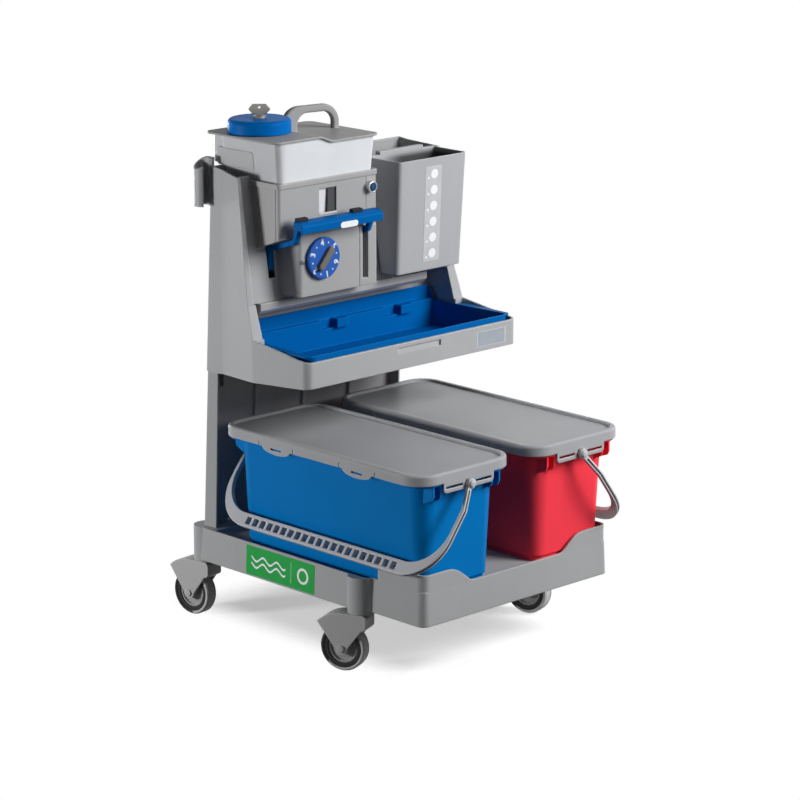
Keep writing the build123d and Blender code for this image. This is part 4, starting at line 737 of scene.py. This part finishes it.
class TROLLEY_OT_tank(bpy.types.Operator):
    """Finish the milky tank, its lid, the cap, the lock and the key"""

    bl_idname = "trolley.tank"
    bl_label = "Tank"

    def execute(self, context):
        colours = context.scene.trolley_colours
        sizes = context.scene.trolley_sizes
        milky = moulded(
            "milky_tank", colours.milk, 0.38, grain=0.5, wear_and_highlight=0.1, gloss=0.3, glow=0.25, tint=self.left)
        dress(milky, "tank_body")
        dress(moulded("tank_cover_grey", colours.tank_cover, 0.42, gloss=0.05), "tank_lid")
        cap = moulded("cap_blue", colours.cap_blue, 0.42, grain=0.5, wear_and_highlight=0.25, gloss=0.03)
        dress(cap, "tank_cap")
        dress(polished("lock_metal", colours.lock, 0.42), "cap_lock", "cap_key")
        panel_size = (sizes.panel_length, sizes.panel_height, sizes.panel_corner)
        seated_plate(
            "tank_panel", "tank_body", RIGHT, TANK_PANEL_SEAT, panel_size, milky, "tank")
        return {"FINISHED"}

    def left(self, finish, place):
        """Painted shade on the tank's left wall, which turns to a greyer white."""
        share = finish.apart(place, "X").below(TANK_LEFT, TANK_LEFT_SOFT)
        return share, bpy.context.scene.trolley_colours.milk_painted_shade


class TROLLEY_OT_buckets(bpy.types.Operator):
    """Finish the buckets, their lids and their bails"""

    bl_idname = "trolley.buckets"
    bl_label = "Buckets"

    def execute(self, context):
        colours = context.scene.trolley_colours
        blue = moulded("bucket_blue", colours.blue, 0.36, grain=0.5, wear_and_highlight=0.25, gloss=0.05)
        dress(blue, "bucket_blue")
        red = moulded("bucket_red", colours.red, 0.36, grain=0.5, wear_and_highlight=0.25, gloss=0.05)
        dress(red, "bucket_red")
        cover = moulded("cover_grey", colours.cover, 0.34, grain=0.6, wear_and_highlight=1.0, gloss=0.10)
        dress(cover, "lid_blue", "lid_red")
        silver = moulded("bail_silver", colours.bail, 0.30, grain=0.5, wear_and_highlight=0.9, gloss=0.40)
        # Painted shade for the grooves along the bails' arms
        hollow_shade = moulded("bail_channel_painted_shade", colours.hollow_shade, 0.5, wear_and_highlight=0.1, gloss=0.10)
        dress(silver, "bail_blue", "bail_red")
        joints = {joint["name"]: joint for joint in frame["joints"]}
        for bucket, side in BUCKETS:
            pivot = Vector(joints["bail_swing_" + bucket]["pos_m"])
            along = (side * math.cos(BAIL_HANG), 0.0, -math.sin(BAIL_HANG))
            self.arms(context, "bail_" + bucket, pivot, along, silver, hollow_shade)
        return {"FINISHED"}

    def arms(self, context, bail, pivot, along, silver, hollow_shade):
        """A cap on the pivot and a dark strip painted as the groove's shade along the arm, at both ends of a
        bail.
        """
        sizes = context.scene.trolley_sizes
        low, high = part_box(bail)
        half = (high.y - low.y) / 2
        for end, way in BAIL_ENDS:
            out = Vector(REAR) * way
            channel = channel_mesh(bail + "_channel_shade_" + end, pivot, along, out, half)
            place_piece(bail + "_channel_shade_" + end, channel, hollow_shade, bail, smooth=True)
            seat = pivot + out * (half - sizes.bail_bulge)
            cap = dome_mesh(bail + "_cap_" + end, seat, out, sizes.cap_radius, sizes.cap_height)
            place_piece(bail + "_cap_" + end, cap, silver, bail, smooth=True)


class TROLLEY_OT_castors(bpy.types.Operator):
    """Finish the castors: forks, stems, axles, tyres, dark rings and hubs"""

    bl_idname = "trolley.castors"
    bl_label = "Castors"

    def execute(self, context):
        colours = context.scene.trolley_colours
        sizes = context.scene.trolley_sizes
        fork = moulded("fork_grey", colours.fork, 0.48)
        hub = moulded("hub_grey", colours.hub, 0.52, grain=1.4, wear_and_highlight=0.2)
        ring = rubber("ring_dark", colours.dark, 0.5)
        steel = polished("castor_steel", colours.metal, 0.3)
        for place in CASTORS:
            dress(fork, "castor_fork_" + place, "castor_axle_" + place)
            dress(hub, "wheel_hub_" + place)
            low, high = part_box("wheel_tyre_" + place)
            # The dark flank is the tyre's two-tone side, and it reaches over the rounded shoulder as painted
            # shade where the lamps light it
            tread = (high.x - low.x) / 2 - sizes.tyre_flank
            flanks = ((low.x + high.x) / 2, tread, colours.dark)
            tyre = rubber("tyre_grey_" + place, colours.rubber, 0.55, flanks)
            dress(tyre, "wheel_tyre_" + place)
            dress(ring, "wheel_ring_" + place)
            dress(steel, "castor_stem_" + place)
        return {"FINISHED"}


class TROLLEY_OT_figures(bpy.types.Operator):
    """Print the figures and dots on the dial, and the mark that it is read against"""

    bl_idname = "trolley.figures"
    bl_label = "Dial figures"

    def execute(self, context):
        sizes = context.scene.trolley_sizes
        colours = context.scene.trolley_colours
        low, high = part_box("dial_knob")
        centre = Vector(((low.x + high.x) / 2, low.y, (low.z + high.z) / 2))
        white = moulded("figure_white", colours.ink, 0.45, grain=0.4)
        place_piece("dial_figures", self.figures(sizes, centre), white, "dial")
        mark = printed("index_dark", colours.index_mark, colours.index_spot, self.spot)
        mark_seat = (centre.x + INDEX_OFFSET[0], centre.z + INDEX_OFFSET[1])
        mark_size = (sizes.index_width, sizes.index_width, sizes.index_width / 2)
        seated_plate("index_mark", "dial_housing", REAR, mark_seat, mark_size, mark, "frame")
        return {"FINISHED"}

    def figures(self, sizes, centre):
        """The figures round the dial, with their feet to its centre, and a dot after each one."""
        thickness = sizes.plate_thickness / 2
        dot_size = (sizes.figure_dot, sizes.figure_dot, sizes.figure_dot / 2)
        forward = Vector((0.0, -thickness / 2, 0.0))
        upright = Matrix.Rotation(math.pi / 2, 4, "X")
        work = bmesh.new()
        for count in range(FIGURE_COUNT):
            turn = FIRST_FIGURE - FIGURE_STEP * count
            figure = figure_mesh(str(count + 1), sizes.figure_height, thickness)
            lean = Matrix.Rotation(math.pi / 2 - turn, 4, "Y")
            seat = centre + self.spoke(turn) * sizes.figure_radius
            figure.transform(Matrix.Translation(seat + forward) @ lean @ upright)
            dot_seat = centre + self.spoke(turn + FIGURE_STEP / 2) * sizes.figure_radius
            dot = plate_mesh("dot", dot_size, thickness, dot_seat, RIGHT, UP)
            for mesh in (figure, dot):
                work.from_mesh(mesh)
                bpy.data.meshes.remove(mesh)
        bmesh.ops.remove_doubles(work, verts=work.verts, dist=1e-6)
        bmesh.ops.recalc_face_normals(work, faces=work.faces)
        joined = bpy.data.meshes.new("dial_figures")
        work.to_mesh(joined)
        work.free()
        return joined

    def spoke(self, turn):
        """The direction from the dial's centre at an angle, from the right and up."""
        return Vector((math.cos(turn), 0.0, math.sin(turn)))

    def spot(self, across, up):
        """A small darker spot in the middle of the mark."""
        return ((across - 0.5) ** 2.0 + (up - 0.5) ** 2.0).below(0.02, 0.008)


class TROLLEY_OT_plates(bpy.types.Operator):
    """Stick the plain plates on: left beam, bin front, shelf front and lever lip"""

    bl_idname = "trolley.plates"
    bl_label = "Plates"

    def execute(self, context):
        sizes = context.scene.trolley_sizes
        colours = context.scene.trolley_colours
        seated_plate(
            "side_plate", "base", RIGHT, SIDE_PLATE_SEAT,
            (sizes.side_plate_length, sizes.side_plate_height, sizes.side_plate_corner),
            printed("side_plate_green", colours.green, colours.ink, self.waves), "frame")
        seated_plate(
            "bin_strip", "bin", REAR, BIN_STRIP_SEAT,
            (sizes.strip_width, sizes.strip_height, sizes.front_corner),
            printed("strip_pale", colours.strip, colours.ink, self.spots), "bin")
        seated_plate(
            "shelf_plate", "station_body", REAR, SHELF_PLATE_SEAT,
            (sizes.shelf_plate_width, sizes.shelf_plate_height, sizes.front_corner),
            printed("shelf_plate_grey", colours.shelf_plate, colours.ink, self.border),
            "frame")
        seated_plate(
            "lever_oval", "lever", REAR, LEVER_OVAL_SEAT,
            (sizes.oval_width, sizes.oval_height, sizes.oval_height / 2),
            printed("oval_white", colours.ink, colours.ink, self.border), "lever")
        return {"FINISHED"}

    def waves(self, across, up):
        """Two rolling lines on the left, a hair line, and a ring on the right."""
        plate_ratio = 3.39
        line = 0.035
        swing = (across * 31.4).sine() * 0.09
        upper = (up - 0.60 - swing).size().below(line, 0.01)
        lower = (up - 0.38 - swing).size().below(line, 0.01)
        reach = (across - 0.33).size().below(0.25, 0.004)
        hair = (across - 0.66).size().below(0.0018, 0.0006) * (up - 0.5).size().below(0.36, 0.01)
        far = ((across - 0.83) * plate_ratio) ** 2.0 + (up - 0.5) ** 2.0
        ring = far.below(0.075, 0.006) - far.below(0.036, 0.006)
        return (upper.most(lower) * reach).most(hair).most(ring)

    def spots(self, across, up):
        """A column of white discs, each with a small dot at its lower left."""
        discs = 6.0
        cell_ratio = 1.38
        cell = (up * discs).part() - 0.5
        disc = ((across - 0.56) * cell_ratio) ** 2.0 + cell ** 2.0
        dot = ((across - 0.2) * cell_ratio) ** 2.0 + (cell + 0.22) ** 2.0
        return disc.below(0.085, 0.012).most(dot.below(0.006, 0.002))

    def border(self, across, up):
        """A hair line along the edge."""
        inset = (across - 0.5).size().most((up - 0.5).size())
        return inset.step(0.475, 0.482) - inset.step(0.488, 0.495)


class TROLLEY_OT_stage(bpy.types.Operator):
    """Set the pale floor, the soft lamps, the surrounding light and the camera"""

    bl_idname = "trolley.stage"
    bl_label = "Studio"

    def execute(self, context):
        scene = context.scene
        scene.view_settings.view_transform = "Standard"
        self.floor(scene)
        self.surround(scene)
        for name, place, size, power in LAMPS:
            self.lamp(scene, name, place, size, power)
        self.camera(scene)
        return {"FINISHED"}

    def floor(self, scene):
        """A flat disc: the point at radius r and angle t is r * (cos t, sin t, 0)."""
        circles = 13
        count = 96
        radius = np.linspace(0.0, FLOOR_RADIUS, circles)
        turn = np.arange(count) * 2.0 * np.pi / count
        flat = radius[:, None, None] * np.stack((np.cos(turn), np.sin(turn)), axis=-1)
        points = np.concatenate((flat, np.zeros((circles, count, 1))), axis=-1).reshape(-1, 3)
        index = np.arange(circles * count).reshape(circles, count)
        beside = np.roll(index, -1, axis=1)
        faces = np.stack((index[:-1], index[1:], beside[1:], beside[:-1]), axis=-1).reshape(-1, 4)
        mesh = bpy.data.meshes.new("floor")
        mesh.from_pydata(points.tolist(), [], faces.tolist())
        mesh.materials.append(self.floor_finish())
        floor = bpy.data.objects.new("floor", mesh)
        scene.collection.objects.link(floor)

    def floor_finish(self):
        """A matt floor. Its glow towards the camera makes it white outside the shadow, and away
        from the trolley it fades into the background."""
        finish = new_finish("pale_floor")
        place = finish.place()
        sideways = (finish.apart(place, "X") - FLOOR_MIDDLE[0]).size() - FLOOR_SOLID[0]
        ahead = (finish.apart(place, "Y") - FLOOR_MIDDLE[1]).size() - FLOOR_SOLID[1]
        away = (sideways * FLOOR_FADE[0]).most(ahead * FLOOR_FADE[1]).step(0.0, 1.0)
        seen = self.seen(finish)
        shade = finish.mix(seen, FLOOR_LIT, FLOOR_SEEN)
        matt = finish.node("ShaderNodeBsdfDiffuse", {}, {"Color": shade})
        glow = finish.node("ShaderNodeEmission", {}, {"Color": WHITE, "Strength": seen * FLOOR_GLOW})
        lit = finish.node("ShaderNodeAddShader", {}, {0: matt, 1: glow})
        clear = finish.node("ShaderNodeBsdfTransparent", {}, {})
        finish.close(finish.node("ShaderNodeMixShader", {}, {0: away, 1: lit, 2: clear}))
        return finish.owner

    def seen(self, finish):
        """1 for a ray from the camera, a reflection or a clear body, and 0 for scattered light."""
        path = "ShaderNodeLightPath"
        camera = finish.node(path, {}, {}, "Is Camera Ray")
        mirror = finish.node(path, {}, {}, "Is Glossy Ray")
        through = finish.node(path, {}, {}, "Is Transmission Ray")
        return camera.most(mirror).most(through)

    def surround(self, scene):
        """A faint light from all round, which the camera and reflections see as white."""
        scene.world = bpy.data.worlds.new("studio")
        finish = Finish(scene.world)
        background = "ShaderNodeBackground"
        light = finish.node(background, {}, {"Color": WHITE, "Strength": SURROUND_LIGHT})
        white = finish.node(background, {}, {"Color": WHITE, "Strength": 1.0})
        finish.close(finish.node("ShaderNodeMixShader", {}, {0: self.seen(finish), 1: light, 2: white}))

    def lamp(self, scene, name, place, size, power):
        """A square lamp that points at the middle of the trolley."""
        data = bpy.data.lights.new(name, "AREA")
        data.shape = "SQUARE"
        data.size = size
        data.energy = power
        lamp = bpy.data.objects.new(name, data)
        lamp.location = place
        way = Vector(LAMP_TARGET) - Vector(place)
        lamp.rotation_euler = way.to_track_quat("-Z", "Y").to_euler()
        scene.collection.objects.link(lamp)

    def camera(self, scene):
        """The photograph's camera: in front on the left, a little above, with a long lens."""
        level = math.cos(CAMERA_TILT)
        ahead = Vector((
            math.sin(CAMERA_TURN) * level, math.cos(CAMERA_TURN) * level, -math.sin(CAMERA_TILT)))
        data = bpy.data.cameras.new("camera")
        data.sensor_width = CAMERA_SENSOR
        data.lens = CAMERA_LENS
        data.shift_x, data.shift_y = CAMERA_SHIFT
        camera = bpy.data.objects.new("camera", data)
        camera.location = CAMERA_PLACE
        camera.rotation_euler = ahead.to_track_quat("-Z", "Y").to_euler()
        scene.collection.objects.link(camera)
        scene.camera = camera


class TROLLEY_PT_dress(bpy.types.Panel):
    """Sizes, colours and steps of the trolley's dress"""

    bl_idname = "TROLLEY_PT_dress"
    bl_label = "Cleaning trolley"
    bl_space_type = "VIEW_3D"
    bl_region_type = "UI"
    bl_category = "Trolley"

    def draw(self, context):
        for group in (context.scene.trolley_colours, context.scene.trolley_sizes):
            box = self.layout.box()
            for key in group.bl_rna.properties.keys():
                if key not in ("rna_type", "name"):
                    box.prop(group, key)
        for step in STEPS:
            self.layout.operator(step.bl_idname)


STEPS = (
    TROLLEY_OT_mouldings,
    TROLLEY_OT_dosing,
    TROLLEY_OT_tank,
    TROLLEY_OT_buckets,
    TROLLEY_OT_castors,
    TROLLEY_OT_figures,
    TROLLEY_OT_plates,
    TROLLEY_OT_stage,
)
CLASSES = (TrolleyColours, TrolleySizes) + STEPS + (TROLLEY_PT_dress,)


def register():
    """Registers the classes and puts their properties on the scene."""
    for kind in CLASSES:
        bpy.utils.register_class(kind)
    bpy.types.Scene.trolley_colours = bpy.props.PointerProperty(type=TrolleyColours)
    bpy.types.Scene.trolley_sizes = bpy.props.PointerProperty(type=TrolleySizes)


def unregister():
    """Takes back what register() did."""
    del bpy.types.Scene.trolley_sizes
    del bpy.types.Scene.trolley_colours
    for kind in reversed(CLASSES):
        bpy.utils.unregister_class(kind)


def main():
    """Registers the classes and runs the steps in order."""
    register()
    bpy.ops.trolley.mouldings()
    bpy.ops.trolley.dosing()
    bpy.ops.trolley.tank()
    bpy.ops.trolley.buckets()
    bpy.ops.trolley.castors()
    bpy.ops.trolley.figures()
    bpy.ops.trolley.plates()
    bpy.ops.trolley.stage()


if __name__ == "__main__":
    main()
